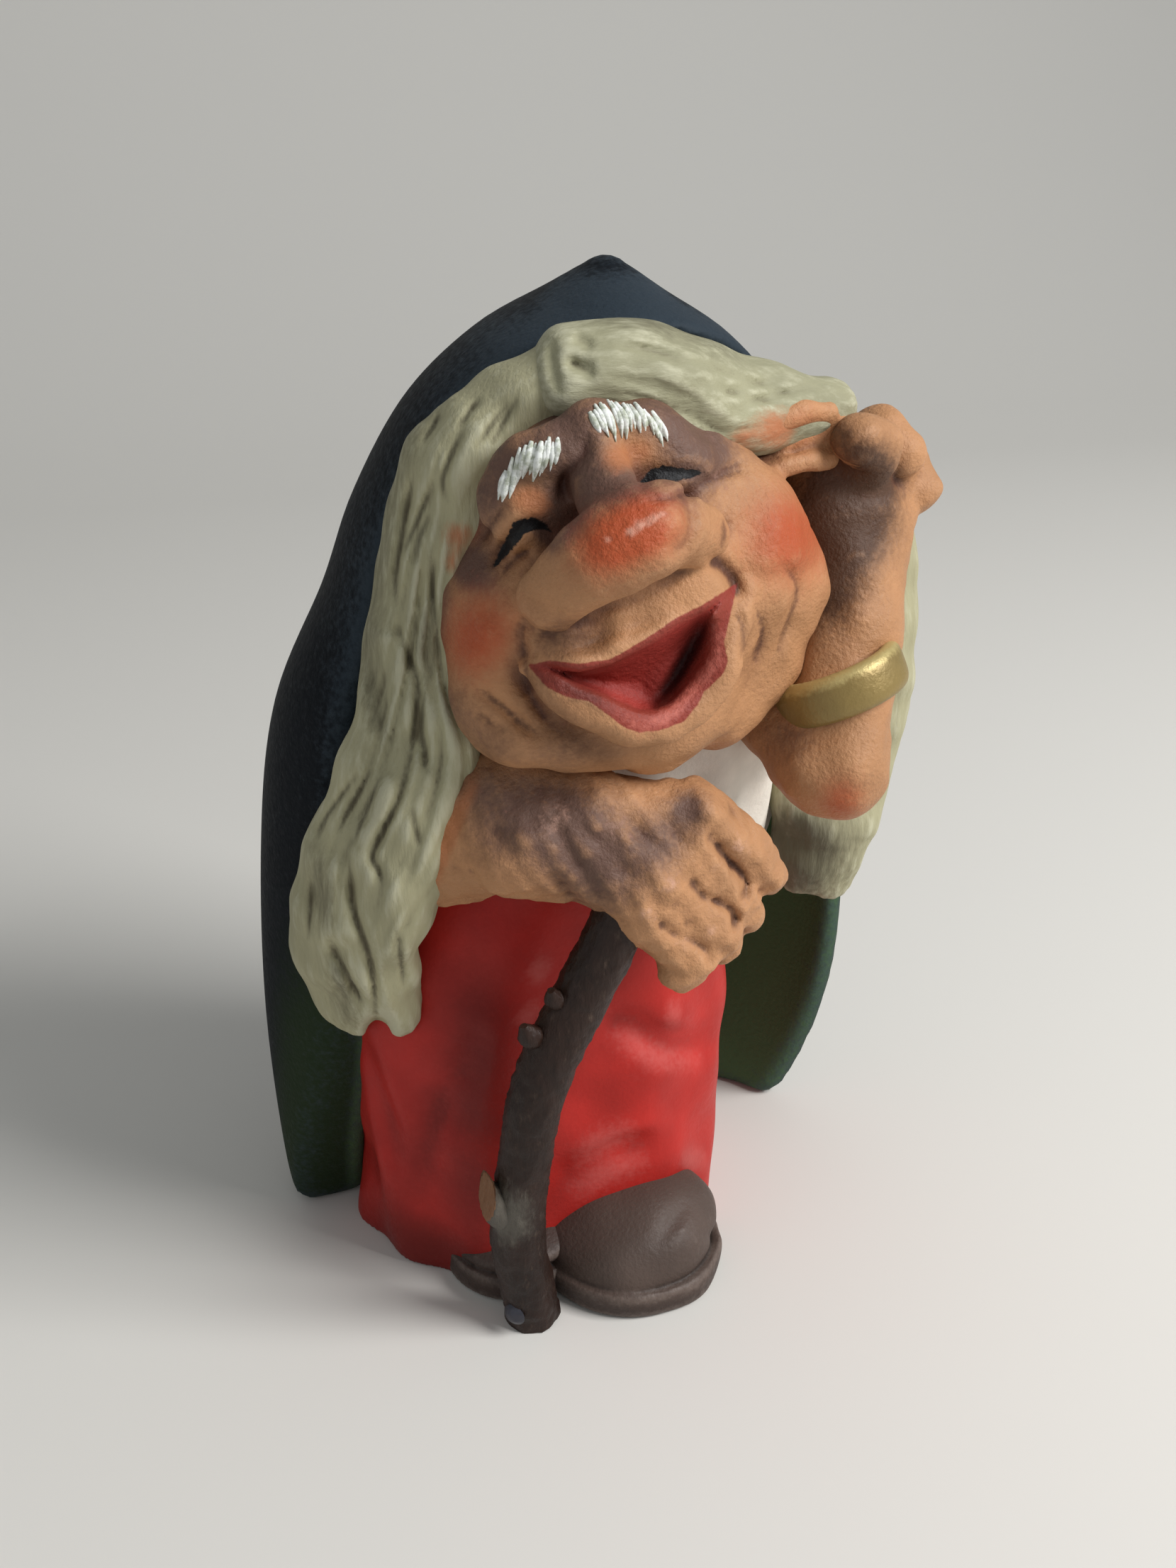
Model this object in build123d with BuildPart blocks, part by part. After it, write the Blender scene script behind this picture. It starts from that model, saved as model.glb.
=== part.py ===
"""Laughing troll with a hood and a walking stick: a painted folk figure about 170 mm high.

The figure faces -Y and stands on z = 0. Its right hand, at -X, leans on the stick.
Its left hand, at +X, is cupped behind the ear. All sizes are in millimetres.
"""

import os
from itertools import pairwise
from math import copysign, cos, pi, sin, sqrt

from build123d import *

# Driving dimensions
body_turn = 6.0  # degrees the cloak's front is turned from the walking stick
head_lean = 11.5  # degrees the head leans towards the walking stick
end_swell = 1.02  # a tube's round end against the tube's own radius
link_overlap = 0.97  # a link starts this much slimmer than the one before it ends
socket_clearance = 0.15
nail_clearance = 0.05

stick_foot_radius = 5.0
stick_radius = 4.4
stub_radius = 3.1
stub_reach = 5.6
bud_radius = 1.8

nail_height = 4.6
nail_length = 16.0
nail_radius = 0.8
nail_head_radius = 2.0
nail_head_rise = 1.1

upper_arm_radius = 9.4
elbow_radius = 8.2
forearm_radius = 8.8
right_forearm_radius = 10.6
wrist_radius = 8.4
palm_radius = 6.8
palm_depth = 5.5
palm_rise = 7.5
cupped_palm_width = 8.0
knuckle_radius = 5.3
finger_radius = 4.6
fingertip_radius = 3.1
cupped_tip_radius = 4.2
grip_radius = 7.0
bracelet_width = 6.0
bracelet_thickness = 2.1

cheek_radius = 11.0
jowl_radius = 8.3
muzzle_radius = 8.5
nose_radius = 6.1
nostril_radius = 5.0
bridge_radius = 4.0
lip_radius = 2.3
upper_corner_radius = 1.4
lower_corner_radius = 1.5
mouth_depth = 9.0
brow_radius = 2.7
eyelid_radius = 5.0
ear_radius = 3.4
ear_rim_radius = 1.9

parting_radius = 3.8
lock_radius = 6.4
lock_tip_radius = 4.2
right_lock_count = 3
fringe_radius = 4.4
fringe_tip_radius = 2.6
fringe_count = 2
side_lock_radius = 5.8
side_lock_tip_radius = 4.0

cloak_folds = 6
cloak_fold_radius = 9.0
cloak_fold_depth = 1.6
cloak_fold_sections = 5  # sections that the folds run over, from the hem up
first_fold_angle = 15.0  # degrees from +X, towards the back

skirt_height = 86.0
skirt_fold_depth = 0.9
skirt_folds = 9
skirt_crease_radius = 4.0
skirt_squareness = 2.6  # 2 is an ellipse, more is boxier

sole_thickness = 5.0
shoe_height = 18.0
shoe_width = 33.0
shoe_length = 32.0
sole_rim = 1.2

# Centre lines, as points in the figure's frame
stick_route = [(-13.5, -37, 0), (-16.4, -39.4, 20), (-15.4, -41.5, 37), (-12.3, -43, 54), (-2.6, -43.5, 75),
               (1.8, -43.7, 85)]
stub_root = (-15.5, -39.4, 22)
stub_end = (-20.4, -41.2, 29)
bud_places = [(-14.6, -44.5, 61.5), (-10.6, -44.5, 67.5)]
nail_heading = (0.7, 0.714, 0)

right_elbow = (-33, -11, 78)
right_forearm = (-24, -25, 87.5)
right_wrist = (-14, -36, 92)
knuckles = [(11.8, -41, 94.7), (9.5, -42.8, 90.4), (6, -44.6, 86), (3.3, -44.8, 81.5)]
finger_bends = [(19.4, -39.5, 87), (17, -41.5, 80), (14.9, -43, 75.5), (10, -44.3, 73.3)]
fingertips = [(24.2, -39, 81.6), (20.5, -40, 76), (16.5, -42, 72), (8, -45, 70)]
grip_middle = (3, -41.5, 87)

left_shoulder = (17, -14, 103)
left_upper_arm = (27, -27, 100)
left_elbow = (36, -35.5, 97.5)
left_forearm = (38.5, -31.5, 107)
left_wrist = (42.5, -25.5, 118)
palm_ends = [(38, -19, 139), (45.5, -16.5, 140), (52, -15, 136)]
cupped_bends = [(40, -20, 144), (47.5, -17, 144.5), (54.5, -14.5, 138.5)]
cupped_tips = [(44, -23, 146), (52, -18.5, 142), (55.5, -16.5, 135)]
bracelet_middle = (38.2, -32, 109.8)
bracelet_axis = (-0.28, 0.3, 1)

chin = (6.5, 0, 103)
cheek_places = [(-13, -34, 125.5), (20.5, -30, 132.5)]
jowl_places = [(-15, -35, 113.2), (24.5, -28.5, 114.8)]
muzzle_line = [(-8, -41.5, 127), (6, -40.5, 131)]
nose_line = [(-11.5, -48, 132.8), (-6.7, -53.5, 139.2), (-0.1, -53.5, 142.8), (9.7, -45.5, 139.2)]
nose_bridge = [(-4.5, -40, 151), (-3.2, -49.5, 144.5)]
brow_lines = [[(-15.7, -37, 145.4), (-13.8, -39, 150.2), (-10.4, -41, 151.4)],
              [(-3.9, -40.5, 154.5), (1.1, -40, 154.2), (5.8, -38, 151.6)]]
eyelid_places = [(-13.5, -38.7, 141), (6.5, -38, 146.5)]
mouth_corners = [(-14.4, -45, 121.9), (16.5, -41.5, 129.7)]
upper_lip = [(-9.9, -48.5, 123.6), (-5.2, -49.5, 124.8), (1.5, -49, 126.5), (8.3, -46.5, 128.5)]
lower_lip = [(-10.7, -47.5, 119.4), (-4.9, -48.5, 116.2), (0.8, -48.5, 113.6), (7.5, -47, 114.4),
             (12.4, -45, 119.3)]
ear_line = [(24, -23, 145), (35.5, -22, 145.6)]
ear_rims = [[(24.5, -25, 145), (27, -26.5, 148.2), (31.6, -26, 149.6), (35, -24.5, 149), (37.6, -23, 146.4)],
            [(27, -26, 141.8), (31.1, -27, 143), (34.6, -25, 142.4), (37.4, -23, 143.8)]]

right_hair_outer = [(-9, -30, 160), (-20, -22, 150), (-24, -20, 138), (-28, -18, 118), (-34.5, -17.5, 99),
                    (-40.5, -16, 83), (-42.5, -13.5, 66), (-40.5, -10.5, 51)]
right_hair_inner = [(-8, -33.5, 157), (-15.5, -28, 148), (-21, -25, 136), (-24, -23.5, 117), (-23, -26, 100),
                    (-26.5, -27, 84), (-31.5, -21, 67), (-30.5, -16.5, 51)]
fringe_upper = [(-4, -29, 160.5), (5, -29, 160.5), (14, -27, 158), (24, -23, 154), (33, -19.5, 152),
                (40, -18, 151)]
fringe_lower = [(-5, -33, 157), (3, -33.5, 157), (11, -32.5, 154), (19, -29, 149.5), (28, -23.5, 150),
                (37, -19, 151)]
side_hair_outer = [(46, -9, 141), (53, -7, 128), (57, -7, 112), (57, -8, 98), (54.5, -8, 84), (53, -8, 71),
                   (50.5, -7, 61.5)]
side_hair_inner = [(47, -10, 100), (45, -11, 90), (43, -11, 80), (42.5, -11, 72), (43.5, -9, 64)]

skirt_creases = [
    [(-21, -29, 51), (-27, -27, 35.7), (-31, -24, 24)],
    [(-39.2, -13, 43.6), (-37.2, -16.2, 33), (-35.4, -18.1, 22.5)],
    [(-8, -31.3, 15), (-3.4, -31.4, 22), (1.4, -31.4, 25.2), (8, -30.5, 25.6)],
    [(3.5, -30.7, 51.5), (11.7, -29.8, 45), (18.5, -27, 41.2), (24.7, -21.8, 37.4)],
]

# Sections: height, middle in X and Y, half width, half depth
cloak_sections = [
    (0, 1.5, 6, 48.5, 29),
    (6, 1.8, 6, 52, 31),
    (40, 2.2, 6, 54, 32),
    (75, 2.5, 5, 52.5, 33),
    (100, 2, 3, 48, 34),
    (120, 3.7, 0, 41, 34.5),
    (135, 5, -3, 37, 34),
    (150, 5, -7, 29, 31),
    (160, 5.6, -9, 20.4, 25),
    (166, 6.5, -8, 11.5, 16),
    (170, 7.8, -4, 2.5, 4),
]
cavity_sections = [
    (-6, 6, 6, 41, 24),
    (16, 6.6, 4, 43.5, 26),
    (45, 7, 1, 44.5, 28),
    (75, 6, -4, 43, 30),
    (100, 4, -6, 40, 29),
    (120, 4.5, -8, 36, 28),
    (135, 5.5, -10, 32, 27),
    (150, 6.4, -12, 24, 24),
    (158, 6.4, -14, 15.5, 19),
    (163, 6, -17, 6, 11),
]
# Y and Z of the cloak's front
front_edge = [(8, -1), (-7, 45), (-11, 100), (-15.5, 143), (-22, 158), (-34, 169)]
front_reach = 60.0
head_sections = [
    (0.5, 0, -32, 6, 8),
    (3.5, 0, -29.5, 13, 13),
    (9, 1, -26.5, 21, 18),
    (17, 2, -23, 27.5, 23.5),
    (26, 2.5, -20, 28, 26.5),
    (36, 2.5, -18, 26, 26.5),
    (46, 2, -16, 21.5, 24),
    (53, 2, -15, 14.5, 18.5),
    (57, 2, -15, 6, 9),
]
torso_sections = [(60, 2, 0, 38, 26), (84, 3, -4, 35, 24), (104, 4, -8, 29, 22), (116, 4, -10, 24, 20)]
skirt_sections = [(0, -4, 3, 30, 30), (4, -4.2, 3, 32, 32), (45, -4.5, 3, 34.5, 32), (68, -3, 2, 32, 29.5),
                  (86, -1, 0, 28, 25)]
shoe_places = {"left_shoe": (5.7, -28, 8), "right_shoe": (-14.5, -20.5, -12)}  # X, Y and turn in degrees


def spread(start, end, count):
    """Even row of values from start to end."""
    return [start + (end - start) * step / (count - 1) for step in range(count)]


def between(first, second, share):
    """Line of points that lies a share of the way from the first line to the second."""
    return [Vector(*a) + (Vector(*b) - Vector(*a)) * share for a, b in zip(first, second)]


def ball(place, radius, mode=Mode.ADD):
    with Locations(place):
        Sphere(radius, mode=mode)


def tube(points, radii, mode=Mode.ADD):
    """Smooth tapered tube with round ends along a curve through the points."""
    with BuildLine() as route:
        Spline(*points)
    rings = []
    for share, radius in zip(spread(0, 1, len(radii)), radii):
        heading = route.line % share
        across = heading.cross(Vector(0, 1, 0))
        with BuildSketch(Plane(origin=route.line @ share, x_dir=across, z_dir=heading)) as ring:
            Circle(radius)
        rings.append(ring.sketch)
    loft(rings, mode=mode)
    ball(route.line @ 0, radii[0] * end_swell, mode)
    ball(route.line @ 1, radii[-1] * end_swell, mode)


def link(start, end, start_radius, end_radius):
    """Tapered rod with round ends between two points."""
    heading = Vector(*end) - Vector(*start)
    length = heading.length
    slope = (start_radius - end_radius) / length
    rise = sqrt(1 - slope**2)
    half = sqrt((1 - slope) / 2)
    other = sqrt((1 + slope) / 2)
    across = heading.cross(Vector(0, 0, 1) if abs(heading.Z) < 0.9 * length else Vector(1, 0, 0))
    with BuildSketch(Plane(origin=start, x_dir=heading, z_dir=across)) as profile:
        with BuildLine():
            near = (start_radius * slope, start_radius * rise)
            far = (length + end_radius * slope, end_radius * rise)
            ThreePointArc((-start_radius, 0), (-start_radius * half, start_radius * other), near)
            Line(near, far)
            ThreePointArc(far, (length + end_radius * other, end_radius * half), (length + end_radius, 0))
            Line((length + end_radius, 0), (-start_radius, 0))
        make_face()
    revolve(profile.sketch, axis=Axis(start, heading))


def limb(points, radii):
    """Chain of links, each starting a little inside the one before it."""
    for (start, end), (start_radius, end_radius) in zip(pairwise(points), pairwise(radii)):
        link(start, end, start_radius * link_overlap, end_radius)


def bell(sections, base=Plane.XY, mode=Mode.ADD):
    """Smooth body through a stack of ellipses."""
    outlines = []
    for height, middle_x, middle_y, half_width, half_depth in sections:
        with BuildSketch(base.offset(height)) as outline:
            with Locations((middle_x, middle_y)):
                Ellipse(half_width, half_depth)
        outlines.append(outline.sketch)
    loft(outlines, mode=mode)


def cut_by(*neighbours):
    """Leave room for the pieces that lie against this one, and drop the crumbs beyond them."""
    for neighbour in neighbours:
        add(neighbour.part, mode=Mode.SUBTRACT)
    for crumb in solids().sort_by(SortBy.VOLUME)[:-1]:
        add(crumb, mode=Mode.SUBTRACT)


# Nail through the stick's foot into the left shoe
stick_radii = [stick_foot_radius, 4.6, 4.3, 4.5, stick_radius, stick_radius]
nail_axis = Vector(*nail_heading).normalized()
stick_foot = Vector(*stick_route[0])
stick_rise = Vector(*stick_route[1]) - stick_foot
nail_middle = stick_foot + stick_rise * (nail_height / stick_rise.Z)
nail_head_seat = nail_middle - nail_axis * stick_foot_radius
nail_plane = Plane(origin=nail_head_seat, z_dir=nail_axis)

with BuildPart() as stick_nail:
    with BuildSketch(Plane(origin=nail_head_seat, x_dir=nail_axis, z_dir=(0, 0, 1))) as nail_profile:
        with BuildLine():
            dome = (-nail_head_rise * 0.72, nail_head_radius * 0.55)
            ThreePointArc((-nail_head_rise, 0), dome, (0, nail_head_radius))
            Polyline((0, nail_head_radius), (0, nail_radius), (nail_length - nail_radius, nail_radius),
                     (nail_length, 0), (-nail_head_rise, 0))
        make_face()
    revolve(axis=Axis(nail_head_seat, nail_axis))

# Walking stick: a crooked twig with one cut side branch and two buds
with BuildPart() as walking_stick:
    tube(stick_route, stick_radii)
    tube([stub_root, stub_end], [stub_radius, stub_radius])
    for place in bud_places:
        ball(place, bud_radius)
    split(bisect_by=Plane.XY, keep=Keep.TOP)
    stub_cut = Plane(origin=Vector(*stick_route[1]) - Vector(stub_reach, 0, 0), z_dir=(-1, -0.25, 0.1))
    split(bisect_by=stub_cut, keep=Keep.BOTTOM)
    with BuildSketch(nail_plane):
        Circle(nail_radius + nail_clearance)
    extrude(amount=nail_length, both=True, mode=Mode.SUBTRACT)
    add(stick_nail.part, mode=Mode.SUBTRACT)

# Cloak: a thick bell with a hood, open at the front
with BuildPart() as cloak:
    bell(cloak_sections)
    with BuildSketch(Plane.YZ.rotated((0, 0, body_turn))):
        with BuildLine():
            Spline(*front_edge)
            top_y, top_z = front_edge[-1]
            low_y, low_z = front_edge[0]
            Polyline((top_y, top_z), (-front_reach, top_z), (-front_reach, low_z), (low_y, low_z))
        make_face()
    extrude(amount=2 * front_reach, both=True, mode=Mode.SUBTRACT)
    bell(cavity_sections, mode=Mode.SUBTRACT)

# Head: face, cheeks, nose, brows, eyelids, ear and the open laughing mouth
head_plane = Plane(origin=chin).rotated((0, -head_lean, 0))
mouth_floor = min(y for x, y, z in lower_lip) + mouth_depth

with BuildPart() as head:
    bell(head_sections, head_plane)
    for place in cheek_places:
        ball(place, cheek_radius)
    for place in jowl_places:
        ball(place, jowl_radius)
    tube(muzzle_line, [muzzle_radius, muzzle_radius])
    with BuildSketch(Plane.XZ.offset(-mouth_floor)):
        with BuildLine():
            Polyline(*[(x, z) for x, y, z in mouth_corners[:1] + upper_lip + mouth_corners[1:]])
            Polyline(*[(x, z) for x, y, z in mouth_corners[:1] + lower_lip + mouth_corners[1:]])
        make_face()
    extrude(amount=front_reach, mode=Mode.SUBTRACT)
    for lip, corner_radius in ((upper_lip, upper_corner_radius), (lower_lip, lower_corner_radius)):
        lip_radii = [corner_radius] + [lip_radius] * len(lip) + [corner_radius]
        tube(mouth_corners[:1] + lip + mouth_corners[1:], lip_radii)
    tube(nose_line, [nostril_radius, nose_radius, nose_radius, nostril_radius])
    limb(nose_bridge, [bridge_radius, nostril_radius])
    for line in brow_lines:
        limb(line, [brow_radius] * len(line))
    for place in eyelid_places:
        ball(place, eyelid_radius)
    limb(ear_line, [ear_radius, ear_radius])
    for line in ear_rims:
        limb(line, [ear_rim_radius] * len(line))
    cut_by(cloak)

# Right hair: locks over the right shoulder
with BuildPart() as right_hair:
    lock_radii = spread(parting_radius, lock_radius, len(right_hair_outer) - 1) + [lock_tip_radius]
    for share in spread(0, 1, right_lock_count):
        tube(between(right_hair_outer, right_hair_inner, share), lock_radii)
    cut_by(head, cloak)

# Right arm: forearm, back of the hand and four fingers closed over the stick
finger_count = len(knuckles)
palm_steps = zip(spread(palm_depth / 2, -palm_depth / 2, finger_count),
                 spread(palm_rise / 2, -palm_rise / 2, finger_count))

with BuildPart() as right_arm:
    limb([right_elbow, right_forearm, right_wrist],
         [right_forearm_radius, right_forearm_radius, wrist_radius])
    for (back, up), knuckle, bend, tip in zip(palm_steps, knuckles, finger_bends, fingertips):
        root = Vector(*right_wrist) + Vector(0, back, up)
        limb([root, knuckle, bend, tip],
             [palm_radius, knuckle_radius, finger_radius, fingertip_radius])
    ball(grip_middle, grip_radius)
    tube(stick_route, [radius + socket_clearance for radius in stick_radii], Mode.SUBTRACT)
    cut_by(head, right_hair, cloak)

# Left arm: bent at the elbow, with the hand cupped behind the ear
palm_sides = spread(-cupped_palm_width / 2, cupped_palm_width / 2, len(palm_ends))
palm_roots = [Vector(*left_wrist) + Vector(side, 0, 0) for side in palm_sides]

with BuildPart() as left_arm:
    limb([left_shoulder, left_upper_arm, left_elbow], [upper_arm_radius, upper_arm_radius, elbow_radius])
    limb([left_elbow, left_forearm, left_wrist], [elbow_radius, forearm_radius, wrist_radius])
    for root, palm_end, bend, tip in zip(palm_roots, palm_ends, cupped_bends, cupped_tips):
        limb([root, palm_end, bend, tip],
             [palm_radius, knuckle_radius, finger_radius, cupped_tip_radius])
    cut_by(head, cloak)

# Bracelet: a band round the left forearm
with BuildPart() as bracelet:
    with BuildSketch(Plane(origin=bracelet_middle, z_dir=bracelet_axis)):
        Circle(forearm_radius + bracelet_thickness)
    extrude(amount=bracelet_width / 2, both=True)
    cut_by(left_arm, head)

# Hair: a fringe swept to the left ear, and locks behind the left arm
with BuildPart() as left_fringe:
    fringe_radii = [fringe_radius] * (len(fringe_upper) - 1) + [fringe_tip_radius]
    for share in spread(0, 1, fringe_count):
        tube(between(fringe_upper, fringe_lower, share), fringe_radii)
    cut_by(head, right_hair, left_arm, cloak)

with BuildPart() as left_side_hair:
    for lock in (side_hair_outer, side_hair_inner):
        tube(lock, [side_lock_radius] * (len(lock) - 1) + [side_lock_tip_radius])
    cut_by(head, left_fringe, left_arm, bracelet, cloak)

# Blouse: the torso between the skirt and the chin
with BuildPart() as blouse:
    bell(torso_sections)
    cut_by(head, right_arm, left_arm, bracelet, right_hair, left_side_hair, cloak)


def rounded(value, power):
    """Value from -1 to 1, pushed outwards to square a circle's corners."""
    return copysign(abs(value) ** power, value)


# Skirt: a wide bell with soft folds that grow towards the hem
with BuildPart() as skirt:
    for height, middle_x, middle_y, half_width, half_depth in skirt_sections:
        fold = skirt_fold_depth * (1 - height / skirt_height)
        outline = []
        for step in range(4 * skirt_folds):
            angle = 2 * pi * step / (4 * skirt_folds)
            wave = fold * sin(skirt_folds * angle)
            x = middle_x + (half_width + wave) * rounded(cos(angle), 2 / skirt_squareness)
            y = middle_y + (half_depth + wave) * rounded(sin(angle), 2 / skirt_squareness)
            outline.append((x, y))
        with BuildSketch(Plane.XY.offset(height)):
            with BuildLine():
                Spline(*outline, periodic=True)
            make_face()
    loft()
    for crease in skirt_creases:
        tube(crease, [skirt_crease_radius] * len(crease), Mode.SUBTRACT)
    cut_by(blouse, right_arm, walking_stick, stick_nail, right_hair, left_side_hair, cloak)


def shoe(place):
    """Sole band with a rounded upper that rises towards the skirt."""
    x, y, turn = place
    sole_plane = Plane(origin=(x, y, 0)).rotated((0, 0, turn))
    with BuildSketch(sole_plane) as sole:
        Ellipse(shoe_width / 2, shoe_length / 2)
    extrude(sole.sketch, amount=sole_thickness)
    fillet(faces().sort_by(Axis.Z)[-1].edges(), sole_rim)
    upper_plane = sole_plane.offset(sole_thickness - sole_rim / 2)
    levels = [(0, 1, 0), (0.45, 0.93, 1.5), (0.8, 0.72, 3.5), (1, 0.42, 5.5)]
    uppers = []
    for rise, share, back in levels:
        with BuildSketch(upper_plane.offset(rise * (shoe_height - sole_thickness))) as level:
            with Locations((0, back)):
                Ellipse(share * (shoe_width / 2 - 2 * sole_rim), share * (shoe_length / 2 - 2 * sole_rim))
        uppers.append(level.sketch)
    loft(uppers)


with BuildPart() as left_shoe:
    shoe(shoe_places["left_shoe"])
    cut_by(skirt, walking_stick, stick_nail)

with BuildPart() as right_shoe:
    shoe(shoe_places["right_shoe"])
    cut_by(skirt, walking_stick, stick_nail, left_shoe)

# Cloak with its hanging folds: soft valleys down the sides and back that fade out towards the shoulders
fold_depths = spread(cloak_fold_depth, 0, cloak_fold_sections)

with BuildPart() as folded_cloak:
    add(cloak.part)
    for degrees in spread(first_fold_angle, 180 - first_fold_angle, cloak_folds):
        angle = degrees * pi / 180
        fold_line = []
        for depth, section in zip(fold_depths, cloak_sections):
            height, middle_x, middle_y, half_width, half_depth = section
            reach = cloak_fold_radius - depth
            x = middle_x + (half_width + reach) * cos(angle)
            y = middle_y + (half_depth + reach) * sin(angle)
            fold_line.append((x, y, height))
        tube(fold_line, [cloak_fold_radius] * len(fold_line), Mode.SUBTRACT)

pieces = {
    "walking_stick": walking_stick,
    "stick_nail": stick_nail,
    "right_arm": right_arm,
    "left_arm": left_arm,
    "bracelet": bracelet,
    "cloak": folded_cloak,
    "head": head,
    "right_hair": right_hair,
    "left_fringe": left_fringe,
    "left_side_hair": left_side_hair,
    "blouse": blouse,
    "skirt": skirt,
    "left_shoe": left_shoe,
    "right_shoe": right_shoe,
}
os.makedirs("parts", exist_ok=True)
for name, piece in pieces.items():
    piece.part.label = name
    export_step(piece.part, f"parts/{name}.step")
    print(name, len(piece.part.solids()), round(piece.part.volume))
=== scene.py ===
# %% [markdown]
# # A laughing folk troll
#
# The object is a painted casting, about 17 cm high: a hooded troll with a hand cupped behind the ear, leaning
# on a real twig that is nailed at its foot. A figure like this is modelled in clay, moulded, cast and painted
# by hand, so this lesson follows the same order. Each piece is first heaped up and pressed in digital clay, and
# then painted in layers: a base coat, a dark wash that runs into the creases together with painted shade there,
# a dry brush on the ridges, and painted shade, shadows and highlights where light falls.

# %% The frame
import math
import bpy
import numpy as np
from mathutils import Matrix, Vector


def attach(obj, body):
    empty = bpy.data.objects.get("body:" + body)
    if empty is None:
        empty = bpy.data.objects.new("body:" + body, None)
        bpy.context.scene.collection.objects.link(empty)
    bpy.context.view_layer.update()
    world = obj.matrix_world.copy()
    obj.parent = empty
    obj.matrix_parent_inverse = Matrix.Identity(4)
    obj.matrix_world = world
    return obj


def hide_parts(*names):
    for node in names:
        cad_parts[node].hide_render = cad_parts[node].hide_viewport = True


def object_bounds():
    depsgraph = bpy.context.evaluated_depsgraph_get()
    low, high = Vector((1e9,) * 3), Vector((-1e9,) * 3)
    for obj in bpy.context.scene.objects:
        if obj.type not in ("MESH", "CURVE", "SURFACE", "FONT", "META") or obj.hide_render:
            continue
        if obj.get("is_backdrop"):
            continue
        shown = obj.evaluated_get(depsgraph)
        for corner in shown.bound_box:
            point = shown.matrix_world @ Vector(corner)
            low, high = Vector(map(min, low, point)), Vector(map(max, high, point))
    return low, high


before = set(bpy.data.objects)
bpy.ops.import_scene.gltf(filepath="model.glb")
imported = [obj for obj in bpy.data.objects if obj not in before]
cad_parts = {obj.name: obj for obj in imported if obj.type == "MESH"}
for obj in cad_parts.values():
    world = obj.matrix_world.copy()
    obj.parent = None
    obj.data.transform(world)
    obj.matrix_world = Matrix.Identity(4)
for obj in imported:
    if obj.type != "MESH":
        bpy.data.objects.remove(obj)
cad_box = [list(corner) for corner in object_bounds()]
MM = 0.001
print("the CAD frame is", [round(high - low, 3) for low, high in zip(*cad_box)], "m")

# %% [markdown]
# ## Where the photograph was taken from
#
# The figure is given in millimetres in its own frame, where it faces -Y. Only the studio is in metres. The
# camera stood a little to the figure's right and looked down at it. With its place known, a wrinkle can be
# drawn where the photograph shows it, in pixels, and pressed into the clay along the line of sight.

# %% The camera
PHOTO_WIDTH = 1659
PHOTO_HEIGHT = 2212
FOCAL_PIXELS = 2400.0
SENSOR_WIDTH = 36.0
CAMERA_PLACE = np.array([-63.1, -258.5, 206.5])
CAMERA_TURN = math.radians(15)
CAMERA_DROP = math.radians(25)
AHEAD = np.array([math.sin(CAMERA_TURN) * math.cos(CAMERA_DROP), math.cos(CAMERA_TURN) * math.cos(CAMERA_DROP),
                  -math.sin(CAMERA_DROP)])
ASIDE = np.array([math.cos(CAMERA_TURN), -math.sin(CAMERA_TURN), 0.0])
ABOVE = np.cross(ASIDE, AHEAD)


def in_photo(x, y, z):
    """The pixel column and row of points in mm, and how many mm one pixel spans there."""
    away = [x - CAMERA_PLACE[0], y - CAMERA_PLACE[1], z - CAMERA_PLACE[2]]
    depth = sum(a * d for a, d in zip(away, AHEAD))
    column = PHOTO_WIDTH / 2 + FOCAL_PIXELS * sum(a * d for a, d in zip(away, ASIDE)) / depth
    row = PHOTO_HEIGHT / 2 - FOCAL_PIXELS * sum(a * d for a, d in zip(away, ABOVE)) / depth
    return column, row, depth / FOCAL_PIXELS


camera_data = bpy.data.cameras.new("camera")
camera_data.sensor_width = SENSOR_WIDTH
camera_data.lens = FOCAL_PIXELS / PHOTO_HEIGHT * SENSOR_WIDTH
camera = bpy.data.objects.new("camera", camera_data)
axes = np.array([ASIDE, ABOVE, -AHEAD]).T
camera.matrix_world = Matrix.Translation(CAMERA_PLACE * MM) @ Matrix(axes.tolist()).to_4x4()
bpy.context.collection.objects.link(camera)
bpy.context.scene.camera = camera
print("the camera looks down by", round(math.degrees(CAMERA_DROP)), "degrees")

# %% [markdown]
# ## Digital clay
#
# Lumps could be joined as meshes with Boolean modifiers, but that leaves sharp seams. So the clay is held as a grid
# of distances to its surface, negative inside. Two lumps are joined by the lower of their distances, and a soft
# minimum smooths the joint as a thumb would. A groove is pressed by raising the distance along a line. At the end
# the zero level is skinned with small quads.

# %% Curves and distances


def unit(vector):
    """A vector of length 1."""
    return np.asarray(vector, float) / np.linalg.norm(vector)


def curve(points, steps=6):
    """A smooth line through the points, with this many steps from each point to the next."""
    points = np.asarray(points, float)
    ends = np.vstack([2 * points[0] - points[1], points, 2 * points[-1] - points[-2]])
    line = []
    for before, start, stop, after in zip(ends, ends[1:], ends[2:], ends[3:]):
        for t in np.arange(steps) / steps:
            leave = (stop - before) / 2
            arrive = (after - start) / 2
            bend = 3 * (stop - start) - 2 * leave - arrive
            twist = 2 * (start - stop) + leave + arrive
            line.append(start + t * leave + t * t * bend + t ** 3 * twist)
    return np.array(line + [points[-1]])


def soft_min(first, second, soft):
    """The lower of two distances, with the joint rounded over this many mm."""
    if soft <= 0:
        return np.minimum(first, second)
    share = np.clip(0.5 + 0.5 * (second - first) / soft, 0, 1)
    return second + (first - second) * share - soft * share * (1 - share)


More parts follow.
